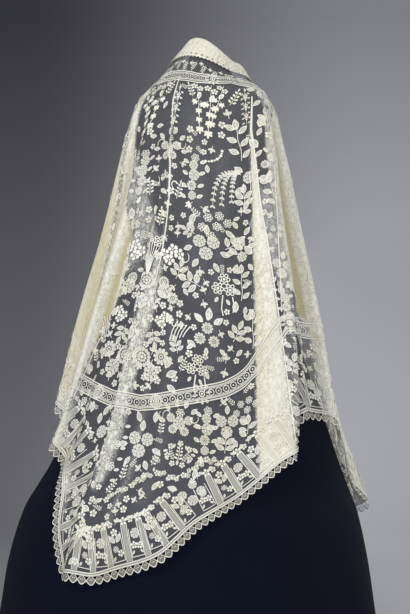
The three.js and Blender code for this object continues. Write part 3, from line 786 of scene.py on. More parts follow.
class Stitching:
    """Outlined shapes in the flat, gathered into one mesh."""

    def __init__(self):
        self.points, self.rims, self.faces = [], [], []

    def loop(self, outline, height, rim):
        start = len(self.points)
        self.points += [(x, y, height) for x, y in outline]
        self.rims += [rim] * len(outline)
        return start

    def join(self, outer, inner, count, closed=True):
        for k in range(count if closed else count - 1):
            n = (k + 1) % count
            self.faces.append((outer + k, inner + k, inner + n, outer + n))

    def plate(self, outline, inset=0.58, middle=0.45):
        outline = np.asarray(outline)
        centre = outline.mean(axis=0)
        outer = self.loop(outline, RIM_HEIGHT, 1.0)
        inner = self.loop(centre + inset * (outline - centre), MIDDLE_HEIGHT, middle)
        self.join(outer, inner, len(outline))
        self.faces.append(tuple(inner + k for k in reversed(range(len(outline)))))

    def dot(self, outline):
        start = self.loop(outline, RIM_HEIGHT, 1.0)
        self.faces.append(tuple(start + k for k in reversed(range(len(outline)))))

    def ring(self, x, y, radius, width, sides=10, rim=1.0):
        outer = self.loop(circle(x, y, radius, sides), RIM_HEIGHT, rim)
        inner = self.loop(circle(x, y, radius - width, sides), RIM_HEIGHT, rim)
        self.join(outer, inner, sides)

    def strip(self, line, width, rim=1.0):
        line = np.asarray(line, float)
        ahead = np.gradient(line, axis=0)
        ahead /= np.maximum(np.linalg.norm(ahead, axis=1, keepdims=True), 1e-9)
        aside = np.stack([-ahead[:, 1], ahead[:, 0]], -1) * np.reshape(width, (-1, 1)) / 2
        left = self.loop(line + aside, RIM_HEIGHT, rim)
        right = self.loop(line - aside, RIM_HEIGHT, rim)
        self.join(left, right, len(line), closed=False)

    def object(self, name):
        """A mesh of the faces and of the points that they use."""
        used = sorted({k for face in self.faces for k in face})
        new = {old: k for k, old in enumerate(used)}
        faces = [tuple(new[k] for k in face) for face in self.faces]
        return mesh_object(name, np.array(self.points)[used] * MM, faces, {"rim": np.array(self.rims)[used]})


# %% Flowers
def petals(made, count, near, length, width, sides, inset, start=0.0, point=0.6, tip=0.15, plain=False):
    """A ring of petals round the middle. near is where they start, in mm from it."""
    for k in range(count):
        turn = start + 2 * math.pi * k / count
        outline = petal(near * math.cos(turn), near * math.sin(turn), turn, length, width, sides, point, tip)
        if plain:
            made.dot(outline)
        else:
            made.plate(outline, inset)


def rose(made):
    made.dot(circle(0, 0, 2.3, 6))
    petals(made, 5, 2.7, 7.4, 7.6, 7, 0.5, tip=0.3)
    petals(made, 8, 9.4, 8.2, 10.4, 7, 0.62, start=0.39)


def round_rose(made):
    made.dot(circle(0, 0, 3.4, 7))
    petals(made, 8, 4.2, 5.6, 5.4, 6, 0.4)
    petals(made, 14, 10.4, 8.8, 6.6, 6, 0.55, start=0.2)


def daisy(made):
    made.ring(0, 0, 4.4, 2.2, 8)
    petals(made, 10, 5.2, 11, 6.4, 7, 0.45, point=0.75, tip=0.35)


def ring_flower(made):
    made.dot(circle(0, 0, 2.6, 6))
    for k in range(6):
        turn = math.pi * k / 3
        made.ring(6.9 * math.cos(turn), 6.9 * math.sin(turn), 3.7, 1.7, 7)


def blossom(made):
    made.dot(circle(0, 0, 1.5, 5))
    petals(made, 5, 1.9, 6, 5.6, 6, 0.5, start=-math.pi / 2, point=0.8, tip=0.35, plain=True)


# %% Leaves and sprigs
UP = -math.pi / 2  # towards the collar


def leaf(made):
    made.plate(petal(0, 0, UP, 27, 15, 12, 2.1, -0.15), 0.58, 0.3)
    made.strip([(0, -3), (0.4, -12), (0, -22)], 1.6)


def small_leaf(made):
    made.plate(petal(0, 0, UP, 13, 7.4, 8, 1.4), 0.45)


def sprig(made):
    """Three small pointed leaves on one stem."""
    made.strip([(0, 7), (0.4, 1), (0, -5)], 1.5)
    for turn, length in ((-1.0, 11), (0.0, 14), (1.0, 11)):
        made.plate(petal(0, -1.5, UP + turn, length, 6.4, 8, 1.4), 0.5)


def star_leaf(made):
    """A hanging leaf with five lobes."""
    for turn, length in ((-1.5, 8), (-0.75, 11), (0, 13.5), (0.75, 11), (1.5, 8)):
        made.dot(petal(0, 0, -UP + turn, length, 5.4, 8, 1.3))
    made.strip([(0, -8), (0, -4), (0, 0)], 1.6)


def fern(made):
    """A stem with pairs of leaflets that stand apart."""
    made.strip([(0, 0), (0.8, -14), (0.4, -28), (-1.5, -40)], 1.3)
    for k in range(4):
        for side in (-1, 1):
            made.dot(petal(0.6 + 1.6 * side, -6 - 8.6 * k, UP + side, 9.4 - 0.9 * k, 5, 6, 1.2))
    made.dot(petal(-1.4, -38, UP, 8, 4.4, 6, 1.2))


def scroll(made):
    turn = np.linspace(0, 4.2, 12)
    radius = np.linspace(15, 4, 12)
    made.strip(np.stack([radius * np.cos(turn), radius * np.sin(turn)], -1), np.linspace(1.6, 3.4, 12))
    made.dot(circle(radius[-1] * math.cos(4.2), radius[-1] * math.sin(4.2), 2.6, 6))


def bead(made):
    made.dot(circle(0, 0, 2.3, 6))


def medallion(made):
    made.ring(0, 0, 6.4, 2.2, 10)
    made.dot(circle(0, 0, 2.4, 6))
    for k in range(10):
        turn = math.radians(36) * k
        made.plate(petal(8 * math.cos(turn), 8 * math.sin(turn), turn, 13, 5.6, 6, 0.9, 0.2), 0.8)


ROSETTE_RADIUS = 6.2


def rosette(made):
    made.ring(0, 0, ROSETTE_RADIUS, 1.5, 10)
    made.dot(circle(0, 0, 1.6, 5))


MOTIFS = {make.__name__: make for make in (
    rose, round_rose, daisy, ring_flower, blossom, leaf, small_leaf, sprig, star_leaf, fern, scroll,
    bead, medallion, rosette)}


def stitched(make):
    made = Stitching()
    make(made)
    return made


print("motifs:", ", ".join(f"{name} {len(stitched(make).faces)} faces" for name, make in MOTIFS.items()))


# %% [markdown]
# ## Marks
# A mark says which motif goes where, with its turn and size. The shawl's pattern is the same on both sides
# of the line from the nape to the point, so each group is given once, by its distance from that line and
# its drop, and placed on both sides. A patch is a small frame of reference in the flat: groups such as a
# spray of leaves put their motifs and stems relative to it.

# %% Patches and marks
CENTRE = 0.04  # place across of the line from the nape to the point
marks = {name: [] for name in MOTIFS}
stems = Stitching()
FLOWERS = ("rose", "round_rose", "daisy", "ring_flower")
FLOWER_ROOM = 0.87  # flowers keep a little dark net between them


class Patch:
    """A place in the flat with a direction, in which x and y are in mm and y points down."""

    def __init__(self, spot, turn, side=1, size=1.0):
        self.spot, self.turn, self.side, self.size = np.asarray(spot, float), turn, side, size

    def to_flat(self, x, y):
        x, y = self.side * self.size * x, self.size * y
        c, s = math.cos(self.turn), math.sin(self.turn)
        return self.spot + (x * c - y * s, x * s + y * c)

    def put(self, kind, x=0.0, y=0.0, turn=0.0, size=1.0):
        place = self.to_flat(x, y)
        room = FLOWER_ROOM if kind in FLOWERS else 1.0
        marks[kind].append((*place, self.turn + self.side * math.radians(turn), room * self.size * size))

    def stem(self, line, width=1.6, rim=1.0):
        stems.strip([self.to_flat(x, y) for x, y in line], width, rim)


def patch_at(across, drop, turn=0.0, side=1, size=1.0):
    return Patch(to_flat(across, drop), -across * FAN_ANGLE / 2 + side * math.radians(turn), side, size)


# %% Groups of motifs
def leaf_spray(p):
    p.stem([(0, 0), (2, -18), (0, -38)])
    p.put("leaf", 0, -36)
    for y, turn in ((-10, 68), (-24, 52)):
        p.put("leaf", 2, y, turn)
        p.put("leaf", -1, y, -turn)


def leaf_column(p):
    p.stem([(0, 34), (3, 10), (0, -16), (2, -40)])
    for y in (-30, 0, 28):
        p.put("leaf", 3, y, 58, 0.95)
        p.put("leaf", -2, y - 12, -58, 0.95)
    p.put("leaf", 1, -40)


def rose_branch(p):
    p.stem([(0, 40), (4, 12), (0, -20)])
    p.put("rose", 0, -8, 0, 0.95)
    p.put("rose", 6, 26, 20, 0.8)
    for x, y, turn in ((-12, 14, -110), (-14, -22, -50), (12, -26, 40), (20, 2, 95), (-6, 44, -160)):
        p.put("leaf", x, y, turn, 0.9)


def rose_trio(p):
    for x, y, size in ((-14, -8, 0.9), (15, -10, 0.9), (1, 17, 0.95)):
        p.put("rose", x, y, 10, size)
    for x, y, turn in ((-28, 6, -110), (30, 8, 105), (0, -24, 0), (-14, 32, -150), (18, 34, 145)):
        p.put("leaf", x, y, turn, 0.85)


def daisy_trio(p):
    for x, y in ((0, -15), (-14, 8), (15, 9)):
        p.put("daisy", x, y, 15 * x, 0.85)
    for x, y, turn in ((0, -30, 0), (-12, -26, -45), (12, -26, 45), (0, 24, 180),
                       (-26, 22, -130), (28, 22, 130)):
        p.put("small_leaf", x, y, turn, 1.3)


def ring_cluster(p):
    for x, y in ((-22, 11), (-12, -9), (4, 5), (8, -16), (24, -5), (-6, 25)):
        p.put("ring_flower", x, y, 20 * x, 0.95)
    p.put("fern", -26, -8, -50, 0.6)
    p.put("small_leaf", 34, -12, 60)


def ring_trio(p):
    for x, y in ((0, -13), (-13, 8), (13, 8)):
        p.put("ring_flower", x, y, 0, 1.45)
    p.stem([(-2, 20), (-4, 48), (0, 62)], 3)
    p.stem([(18, 22), (22, 40), (20, 54)], 3)
    p.put("small_leaf", -12, 26, -150)
    p.put("small_leaf", 6, 28, 150)


def bouquet(p):
    for x, y, kind, size in ((0, 0, "rose", 1.0), (-22, -10, "rose", 0.7), (22, -10, "rose", 0.7),
                             (-14, 16, "daisy", 0.8), (15, 17, "daisy", 0.8), (0, -24, "ring_flower", 1.2)):
        p.put(kind, x, y, 0, size)
    for x, y, turn in ((-34, 0, -80), (34, 0, 80), (-26, -26, -40), (26, -26, 40),
                       (-8, -36, -10), (10, -36, 14)):
        p.put("leaf", x, y, turn, 0.75)
    p.put("scroll", -30, -16, 150, 0.9)
    p.put("scroll", 32, -16, -30, 0.9)


def flower_column(p):
    for y, kind, size in ((-50, "ring_flower", 1.1), (-34, "rose", 0.7), (-12, "rose", 0.85),
                          (12, "daisy", 0.85), (34, "rose", 0.65), (54, "star_leaf", 1)):
        p.put(kind, 3 * math.sin(y), y, y, size)
    for y in (-40, -14, 14, 38):
        p.put("small_leaf", 13, y, 60, 1.2)
        p.put("small_leaf", -13, y + 4, -60, 1.2)


def hanging_spray(p):
    p.stem([(0, 0), (1, 50), (0, 104)], 1.2)
    for x, y in ((-7, 10), (7, 16)):
        p.put("blossom", x, y, 0, 0.9)
    p.put("small_leaf", 0, 42, 20, 1.4)
    for x, y, turn, size in ((-7, 46, 25, 0.85), (8, 52, -25, 0.85), (0, 66, 0, 0.9), (0, 86, 8, 0.9),
                             (0, 107, 0, 1.1)):
        p.put("star_leaf", x, y, turn, size)


def bud_chain(p):
    p.stem([(0, 0), (0, 110)], 1.2)
    for k in range(7):
        p.put("blossom" if k % 2 else "small_leaf", 0, 8 + 15 * k, 0, 0.9)
        p.put("small_leaf", 5, 14 + 15 * k, 115, 0.7)
        p.put("small_leaf", -5, 14 + 15 * k, -115, 0.7)


def weeping_fern(p):
    """Three strands arch from one root and hang down, with a pair of leaflets at every step."""
    for reach, fall in ((56, 70), (38, 62), (18, 54)):
        far = np.linspace(0, 1, 13)
        x, y = 26 - reach * np.sin(1.5 * far), -30 - 13 * np.sin(np.pi * far) + fall * far**2
        p.stem(list(zip(x, y)), 1.2)
        ahead = np.degrees(np.arctan2(np.gradient(x), -np.gradient(y)))
        for px, py, turn in list(zip(x, y, ahead))[1:]:
            p.put("small_leaf", px, py, turn + 42, 0.56)
            p.put("small_leaf", px, py, turn - 42, 0.56)


def dotted_arc(p):
    for k in range(9):
        turn = 0.2 * k
        p.put("bead", 34 * math.sin(turn) - 16, 30 * math.cos(turn) - 12, 0, 1.1 if k % 2 else 1.5)


def pansies(p):
    for x, y in ((-13, 4), (2, -8), (15, -2), (-2, 12)):
        p.put("blossom", x, y, 25 * x, 1.35)
    p.put("scroll", 26, 4, -60, 0.8)


def plume(p):
    for k in range(9):
        lean = (k - 4) / 4
        p.stem([(2 * lean, 0), (9 * lean, -30), (22 * lean, -66 + 8 * lean * lean)], 1.7)
    p.put("round_rose", 0, 14, 0, 1.1)
    p.put("leaf", -24, 30, -120, 0.95)
    p.put("leaf", 24, 30, 120, 0.95)


def ribbon(p):
    for k in range(5):
        p.stem([(7 * k - 16, 24 - 3 * k), (7 * k - 12, 2), (7 * k - 3, -20 + 2 * k)], 2.6)
    p.put("leaf", -16, -14, -40, 0.8)
    p.put("leaf", 22, 16, 120, 0.8)


def wreath(p):
    for k in range(14):
        turn = 2 * math.pi * k / 14
        p.put("blossom" if k % 2 else "small_leaf", 26 * math.sin(turn), 24 * math.cos(turn), 25 * k, 0.85)
    p.put("fern", 0, 16, 0, 0.9)
    p.put("fern", -9, 14, -30, 0.6)
    p.put("fern", 9, 14, 30, 0.6)


def daisy_column(p):
    for k in range(6):
        kind, x, size = ("daisy", -4, 0.85) if k % 2 else ("ring_flower", 5, 1.2)
        p.put(kind, x, -62 + 24 * k, 0, size)
        p.put("small_leaf", 16, -56 + 24 * k, 70, 1)
        p.put("small_leaf", -16, -60 + 24 * k, -70, 1)


GROUPS = {make.__name__.replace("_", " "): make for make in (
    leaf_spray, leaf_column, rose_branch, rose_trio, daisy_trio, ring_cluster, ring_trio, bouquet,
    flower_column, hanging_spray, bud_chain, weeping_fern, dotted_arc, pansies, plume, ribbon, wreath,
    daisy_column)}


def put_group(name, patch):
    """Puts a group, or a single motif, at a patch."""
    if name in MOTIFS:
        patch.put(name)
    else:
        GROUPS[name](patch)


print("groups:", len(GROUPS))

# %% [markdown]
# ## The pattern
# Each row of the table names a group, its distance from the middle line, its drop, turn and size. The rows
# go down the back of the shawl, as the photograph shows it: hanging sprays below the upper band, bouquets
# and columns of flowers, ring flowers, a plume on a round flower, and roses round the lower band. The sides
# and the front, which it doesn't show, repeat the same groups.

# %% The back of the shawl
PATTERN = [
    ("fern", 0.075, 172, -25, 0.8), ("fern", 0.235, 178, 30, 0.9), ("bud chain", 0.0, 150, 0, 0.9),
    ("hanging spray", 0.085, 128, -10, 0.95), ("hanging spray", 0.155, 128, 0, 1.0),
    ("hanging spray", 0.21, 124, 14, 0.85), ("bud chain", 0.3, 140, 0, 0.7),
    ("leaf column", 0.268, 285, -8, 0.9), ("leaf", 0.345, 250, 20, 1), ("leaf", 0.335, 300, -30, 1),
    ("bouquet", 0.0, 318, 0, 0.85), ("leaf", 0.0, 372, 170, 1.0),
    ("flower column", 0.112, 385, 0, 0.95), ("dotted arc", 0.178, 312, 0, 0.9),
    ("rose branch", 0.3, 375, 0, 0.9), ("weeping fern", 0.228, 392, 0, 1),
    ("fern", 0.06, 440, 10, 0.9), ("scroll", 0.05, 405, 60, 0.9), ("leaf spray", 0.28, 440, 0, 0.8),
    ("leaf", 0.13, 468, -160, 1), ("ring cluster", 0.19, 485, 0, 1.1),
    ("rose trio", 0.168, 545, 0, 0.95), ("leaf spray", 0.222, 545, 55, 0.8),
    ("rose branch", 0.262, 535, 0, 0.85), ("leaf spray", 0.135, 520, -70, 0.6),
    ("fern", 0.02, 520, 0, 0.9), ("ring_flower", 0.025, 560, 0, 1.3), ("pansies", 0.07, 580, 0, 1.15),
    ("leaf spray", 0.092, 640, 15, 0.75), ("rose", 0.066, 676, 0, 1.05), ("daisy", 0.09, 690, 0, 0.9),
    ("plume", 0.012, 645, -6, 1.0), ("round_rose", 0.06, 655, 0, 0.75), ("rose", 0.005, 715, 0, 1.15),
    ("leaf spray", 0.16, 650, -70, 0.85), ("ring trio", 0.22, 635, 0, 1),
    ("leaf column", 0.265, 640, 0, 0.75), ("rose", 0.31, 590, 0, 0.9), ("rose", 0.31, 690, 0, 1),
    ("leaf", 0.3, 560, -40, 1), ("leaf spray", 0.05, 775, 160, 0.7), ("ribbon", 0.115, 765, 0, 1),
    ("pansies", 0.075, 745, 0, 0.9), ("leaf spray", 0.12, 820, -20, 0.6),
    ("daisy trio", 0.183, 765, 0, 1.0), ("leaf", 0.185, 728, 0, 1), ("leaf", 0.172, 735, -50, 0.9),
    ("leaf", 0.198, 735, 50, 0.9), ("leaf spray", 0.245, 770, 25, 0.75),
    ("leaf column", 0.292, 760, 0, 0.8), ("leaf", 0.25, 700, 0, 0.9),
    ("ring trio", 0.166, 842, 0, 0.9), ("round_rose", 0.036, 848, 0, 1.25),
    ("daisy", 0.082, 836, 0, 1.25), ("rose", 0.063, 880, 0, 1.15), ("round_rose", 0.01, 900, 0, 1.05),
    ("leaf", 0.1, 880, 60, 1), ("leaf", 0.096, 862, 20, 1), ("leaf", 0.105, 900, 120, 0.9),
    ("fern", 0.13, 862, 20, 0.7), ("ring_flower", 0.0, 860, 0, 1.3), ("leaf", 0.0, 815, 0, 1.1),
    ("rose", 0.012, 990, 0, 1), ("rose trio", 0.066, 1050, 0, 1.0),
    ("daisy column", 0.014, 1085, 0, 0.95), ("bouquet", 0.14, 985, 0, 0.85),
    ("wreath", 0.148, 1060, 0, 0.95), ("flower column", 0.195, 1000, 0, 0.95),
    ("leaf", 0.09, 995, 0, 0.9), ("leaf", 0.06, 1000, -30, 0.9), ("fern", 0.105, 1020, 0, 0.8),
    ("fern", 0.1, 1100, 20, 0.8), ("rose trio", 0.236, 970, 0, 0.85),
    ("leaf spray", 0.236, 1040, 0, 0.8), ("ring cluster", 0.275, 930, 0, 0.9),
    ("leaf column", 0.28, 1010, 0, 0.8), ("rose", 0.31, 960, 0, 0.9), ("fern", 0.048, 1150, 0, 0.9),
    ("fern", 0.03, 1190, 20, 0.8), ("ring_flower", 0.09, 1135, 0, 0.9),
    ("leaf", 0.115, 1160, 20, 0.8), ("blossom", 0.15, 1165, 0, 1), ("fern", 0.17, 1175, 30, 0.7),
]
FULLER = 1.2  # the groups fill the net more than their own sizes do
ON_THE_MIDDLE = 0.035  # closer to the middle line than this, a group stands alone
for group, away, drop, turn, size in PATTERN:
    for side in (1, -1) if away > ON_THE_MIDDLE else (1,):
        put_group(group, patch_at(CENTRE + side * away, drop, turn, side, FULLER * size))
print("back:", len(PATTERN), "rows,", sum(len(m) for m in marks.values()), "motifs")

# %% The sides and the front
SIDE_GROUPS = ["rose branch", "leaf spray", "daisy trio", "leaf column", "ring cluster", "rose trio",
               "flower column"]
LOWER_BAND = np.array([(0, 962), (0.05, 956), (0.093, 941), (0.135, 925), (0.178, 906), (0.23, 884),
                       (0.262, 865), (0.29, 842), (0.365, 748), (0.5, 705), (0.59, 680),
                       (1.05, 560)], float)
BORDER_DEPTH = 112  # mm of border above the hem
SIDE_STEP = 88  # mm from one group to the next below it
FRONT_EDGE = 0.975  # place across of the middle of the trim on a front edge


def band_drop(away):
    return np.interp(away, LOWER_BAND[:, 0], LOWER_BAND[:, 1])


count = 0
for column, away in enumerate(np.arange(0.375, 1.0, 0.068)):
    for side in (1, -1):
        across = CENTRE + side * away
        if abs(across) > FRONT_EDGE:
            continue
        drop = 165 + 30 * (column % 2)
        while drop < hem_drop(across) - BORDER_DEPTH - 30:
            if abs(drop - band_drop(away)) > 45:
                group = SIDE_GROUPS[(3 * column + count) % len(SIDE_GROUPS)]
                put_group(group, patch_at(across, drop, 12 * ((count % 3) - 1), side, 0.9))
            drop += SIDE_STEP
            count += 1
print("with the sides:", sum(len(m) for m in marks.values()), "motifs")

# %% [markdown]
# ## Bands, border and garlands
# Two insertion bands cross the shawl. Each has a tape on both edges and a row of ring rosettes between. The
# border above the edging is a row of panels with bars between them, and a garland of small blossoms hangs
# above it. All follow a line on the cloth, so a function walks along that line in even steps.

# %% Walking along a line on the cloth
HEADING_REACH = 25.0  # mm before and after a place, between which its heading is taken


def walk(line, step):
    """Even steps along a flat line: the places and their headings."""
    far = np.concatenate([[0], np.cumsum(np.linalg.norm(np.diff(line, axis=0), axis=1))])

    def place_at(at):
        at = np.clip(at, 0, far[-1])
        return np.stack([np.interp(at, far, line[:, k]) for k in (0, 1)], -1)

    at = np.linspace(0, far[-1], max(int(round(far[-1] / step)), 1) + 1)
    heading = place_at(at + HEADING_REACH) - place_at(at - HEADING_REACH)
    return place_at(at), np.arctan2(heading[:, 1], heading[:, 0])


def beside(places, heading, aside):
    """The same places, moved to the right of the heading by some millimetres."""
    return places + aside * np.stack([-np.sin(heading), np.cos(heading)], -1)


# %% Insertion bands
LINE_STEP = 6.0  # mm between the points of a tape
TAPE, TAPE_GAP = 2.8, 3.0
TOP_HALF, LOW_HALF = 14.5, 18.0  # half widths of the upper and the lower band
RING_SHARE, RING_STEP, MEDALLION_ROOM = 0.47, 2.35, 1.2  # of the half width, the ring and the half width


def band(line, half, medallions):
    """Tapes on both edges of a line and rosettes along it, with larger medallions at some places."""
    places, heading = walk(line, LINE_STEP)
    ring = RING_SHARE * half
    body = half - 0.5 * TAPE - TAPE_GAP - ring
    for side in (-1, 1):
        stems.strip(beside(places, heading, side * half), TAPE)
        stems.strip(beside(places, heading, side * (ring + body / 2)), body, 0.3)
        stems.strip(beside(places, heading, side * (ring + body)), 1.2)
    spots, turns = walk(line, RING_STEP * ring)
    for k in range(len(spots) - 1):
        if min(np.hypot(*(spots[k] - place)) for place in medallions) < MEDALLION_ROOM * half:
            continue
        marks["rosette"].append((*spots[k], turns[k], ring / ROSETTE_RADIUS))
        halfway = 0.5 * (spots[k] + spots[k + 1])[None]
        for side in (-1, 1):
            marks["bead"].append((*beside(halfway, turns[k:k + 1], side * ring)[0], 0.0, 0.8))
    for place in medallions:
        marks["medallion"].append((*place, 0.0, half / TOP_HALF))
    return len(spots)


def both_sides(aways, drop_of):
    """Flat places on both sides of the middle line, at the drop that a band has there."""
    return [to_flat(CENTRE + s * away, drop_of(away)) for away in aways for s in (-1, 1)]


steps = np.linspace(-0.99, 0.99, 500)
TOP_BAND = np.array([(0, 116), (0.08, 114), (0.17, 104), (0.25, 95), (0.31, 114), (0.4, 140),
                     (0.6, 150), (1.05, 130)], float)


def top_drop(away):
    return np.interp(away, TOP_BAND[:, 0], TOP_BAND[:, 1])


top_line = to_flat(steps, top_drop(np.abs(steps - CENTRE)))
low_line = to_flat(steps, band_drop(np.abs(steps - CENTRE)))
TOP_MEDALLIONS, LOW_MEDALLIONS = (0.16, 0.42, 0.7), (0.18, 0.38, 0.6, 0.8)
steps_made = band(top_line, TOP_HALF, both_sides(TOP_MEDALLIONS, top_drop))
steps_made += band(low_line, LOW_HALF, both_sides(LOW_MEDALLIONS, band_drop))
marks["round_rose"] += [(*place, 0.0, 0.95) for place in both_sides((0.085,), band_drop)]
print("bands:", steps_made, "steps")

# %% Sprigs between the collar and the upper band
SPRIG_EVERY = 0.03  # across, from one sprig to the next
for across in np.arange(-0.96, 0.97, SPRIG_EVERY):
    drop, turn = 68 + 4 * math.sin(40 * across), 180 + 14 * math.sin(90 * across)
    kind = "fern" if int(round(across / SPRIG_EVERY)) % 2 else "sprig"
    patch_at(across, drop, turn, 1, 0.62).put(kind, 0, 0, 0, 1.1)

# %% Tapes and small blossoms along both front edges
front_drops = np.linspace(120, 860, 200)
for side in (1, -1):
    for across, width in ((0.988, 2.6), (0.962, 1.4)):
        stems.strip(walk(to_flat(0 * front_drops + side * across, front_drops), LINE_STEP)[0], width)
    spots, turns = walk(to_flat(0 * front_drops + side * FRONT_EDGE, front_drops), 13.0)
    for k, (place, turn) in enumerate(zip(spots, turns)):
        marks["blossom" if k % 2 else "small_leaf"].append((*place, turn, 0.8))

# %% Garland of blossoms
GARLAND = np.array([(0.0, 1222), (0.03, 1208), (0.062, 1170), (0.09, 1130), (0.118, 1112),
                    (0.145, 1122), (0.17, 1105), (0.2, 1062), (0.225, 1058), (0.255, 1052),
                    (0.29, 1000), (0.33, 950), (0.38, 900), (0.44, 850), (0.5, 770), (0.6, 730)], float)
garland_away = np.linspace(0, 0.6, 200)
for side in (1, -1):
    line = to_flat(CENTRE + side * garland_away, np.interp(garland_away, *GARLAND.T))
    spots, turns = walk(line, 9.0)
    for k, (place, turn) in enumerate(zip(spots, turns)):
        aside = 4.5 * math.sin(2.3 * k)
        kind, size = (("blossom", 0.8), ("small_leaf", 0.8), ("blossom", 1.0), ("ring_flower", 0.7))[k % 4]
        marks[kind].append((*beside(place[None], np.array([turn]), aside)[0], turn + 2.1 * k, size))

# %% Room above the hem
hem_steps = np.linspace(-0.995, 0.995, 1500)
hem_line = to_flat(hem_steps, hem_drop(hem_steps))
LOST_IN_LACE = 0.6  # a motif on cloth that looks more solid than this is lost among the layers


def place_of(flat):
    """The place across and the drop of flat points."""
    return np.arctan2(flat[:, 0], flat[:, 1]) / (FAN_ANGLE / 2), np.hypot(flat[:, 0], flat[:, 1]) - FAN_RADIUS


def from_hem(flat):
    """How far flat points lie inside the hem, in mm, and less than nothing outside it."""
    flat = np.atleast_2d(flat)
    near = np.sqrt([np.min(np.sum((hem_line - point) ** 2, axis=1)) for point in flat])
    across, drop = place_of(flat)
    return np.where(drop < hem_drop(across), near, -near)


def trim_to_border():
    """Takes off what would lie on the border, past the hem, or on a roll, where lace hides it."""
    for kind, rows in marks.items():
        if rows:
            flat = np.array(rows)[:, :2]
            inside = (from_hem(flat) > BORDER_DEPTH) & (solid_at(*place_of(flat)) < LOST_IN_LACE)
            marks[kind] = [row for row, keep in zip(rows, inside) if keep]
    off = from_hem(np.array(stems.points)[:, :2]) < BORDER_DEPTH - 15
    stems.faces = [face for face in stems.faces if not off[list(face)].any()]


before = sum(len(m) for m in marks.values())
trim_to_border()
print("taken off at the border:", before - sum(len(m) for m in marks.values()), "motifs")

# %% Border panels above the hem
PANEL = 53  # mm from one bar to the next
BAR_WIDE, BAR_TOP = 10.5, -94
ROOM_FOR_BAR = 84.6  # mm from the hem that the top of a bar needs, which it hasn't at a sharp turn
CLUSTER_EVERY, CLUSTER_FIRST = 11, 4  # every so many panels a cluster of roses breaks the border


def panel_flowers(p, number):
    for aside in (-16.5, 16.5):
        p.stem([(aside, -14), (aside, -40), (aside * 0.94, -78)], 1.8)
    p.stem([(-16.5, -14), (0, -13.4), (16.5, -14)], 1.8)
    if number % 2:
        p.put("rose", 0, -66, 0, 0.8)
        p.put("blossom", -7, -40, 0, 1.15)
        p.put("blossom", 8, -37, 20, 1.1)
        p.put("small_leaf", -8, -28, -140, 0.8)
        p.put("small_leaf", 8, -27, 140, 0.8)
    else:
        p.put("leaf", -2, -56, -32, 0.85)
        p.put("leaf", 2, -56, 32, 0.85)
        p.put("blossom", 0, -80, 0, 1.2)
        p.put("ring_flower", -3, -42, 0, 0.85)
        p.put("blossom", 8, -31, 30, 1.05)
        p.put("small_leaf", -8, -26, -150, 0.8)


def border(line):
    places, heading = walk(line, PANEL)
    for k, (place, turn) in enumerate(zip(places, heading)):
        patch = Patch(place, turn)
        roomy = from_hem(patch.to_flat(0, BAR_TOP))[0] > ROOM_FOR_BAR
        if k % CLUSTER_EVERY == CLUSTER_FIRST:
            for x, y, size in ((-20, -76, 0.8), (15, -90, 0.75), (-2, -52, 0.9), (28, -56, 0.66),
                               (-29, -44, 0.66)):
                patch.put("rose", x, y, 30 * x, size)
            patch.put("leaf", -24, -96, -40)
            patch.put("leaf", 24, -100, 40)
        elif roomy:
            for x in (-7.2, 7.2):
                patch.stem([(x, -8), (x, -40), (x, -70), (x, BAR_TOP)], 2.0)
            patch.stem([(0, -8), (0, -50), (0, BAR_TOP)], BAR_WIDE, 0.14)
            patch.put("blossom", 0, -101, 0, 1.3)
            patch.put("small_leaf", -8, -102, -50, 1.0)
            patch.put("small_leaf", 8, -102, 50, 1.0)
        else:
            patch.put("rose", 0, -40, 0, 0.9)
            patch.put("sprig", 0, -58, 0, 1.0)
        if k < len(places) - 1:
            middle = Patch(0.5 * (place + places[k + 1]), turn)
            if from_hem(middle.to_flat(0, BAR_TOP))[0] > ROOM_FOR_BAR:
                panel_flowers(middle, k)
                middle.put("blossom", -8, -100, 0, 1.0)
                middle.put("sprig", 8, -102, 30, 0.8)
            else:
                middle.put("leaf", 0, -18, 10, 0.9)
                middle.put("blossom", 10, -34, 0, 1.1)
    return len(places)


panels = border(hem_line)
places, heading = walk(hem_line, LINE_STEP)
for aside, width, rim in ((-5.5, 2.4, 1.0), (-2.6, 3.5, 0.1), (0.3, 2.4, 1.0)):
    stems.strip(beside(places, heading, aside), width, rim)
print("border:", panels, "panels")

# %% Sharp edges of folds, drawn as painted highlights
# White thread strips along the sharp edges of folds paint the bright lines there: a painted highlight.
FOLD_HIGHLIGHTS = [  # (drop, place across) along a fold's sharp edge, and its width in mm
    ([(118, 0.018), (190, 0.018), (295, 0.042), (360, 0.062), (450, 0.075)], 2.6),
    ([(430, 0.074), (525, 0.08), (590, 0.08), (680, 0.074)], 2.0),
    ([(165, 0.369), (250, 0.356), (330, 0.366), (430, 0.372), (535, 0.384), (670, 0.391),
      (880, 0.405), (1030, 0.414)], 3.0),
    ([(345, 0.424), (500, 0.418), (665, 0.406), (720, 0.402)], 2.6),
    ([(510, -0.068), (625, -0.046), (725, -0.056), (815, -0.099), (955, -0.126)], 2.4),
]
for rows, width in FOLD_HIGHLIGHTS:
    drops, places = np.array(rows, float).T
    along = np.arange(drops[0], drops[-1], 12.0)
    stems.strip(to_flat(np.interp(along, drops, places), along), width, 0.9)
print("fold edges:", len(FOLD_HIGHLIGHTS))

# %% Small sprigs in the open ground
OPEN_GROUND = [  # away from the middle, drop, and the half width and half height left plain, in mm
    (0.137, 225, 20, 34), (0.218, 300, 30, 45), (0.2, 400, 16, 45), (0.075, 445, 26, 40),
    (0.105, 560, 16, 45), (0.13, 690, 16, 36), (0.16, 715, 16, 26), (0.195, 525, 18, 30),
    (0.2, 700, 18, 24), (0.04, 1128, 18, 22), (0.1, 1085, 16, 26), (0.055, 240, 18, 40),
    (0.33, 420, 12, 30),
]
SPRIGS = (("sprig", 0.95), ("blossom", 1.0), ("leaf", 0.8), ("fern", 0.6), ("blossom", 1.2), ("sprig", 1.1))
SPRIG_ROOM, SPRIG_STEP, TURN_STEP = 20.0, 13.0, 2.4


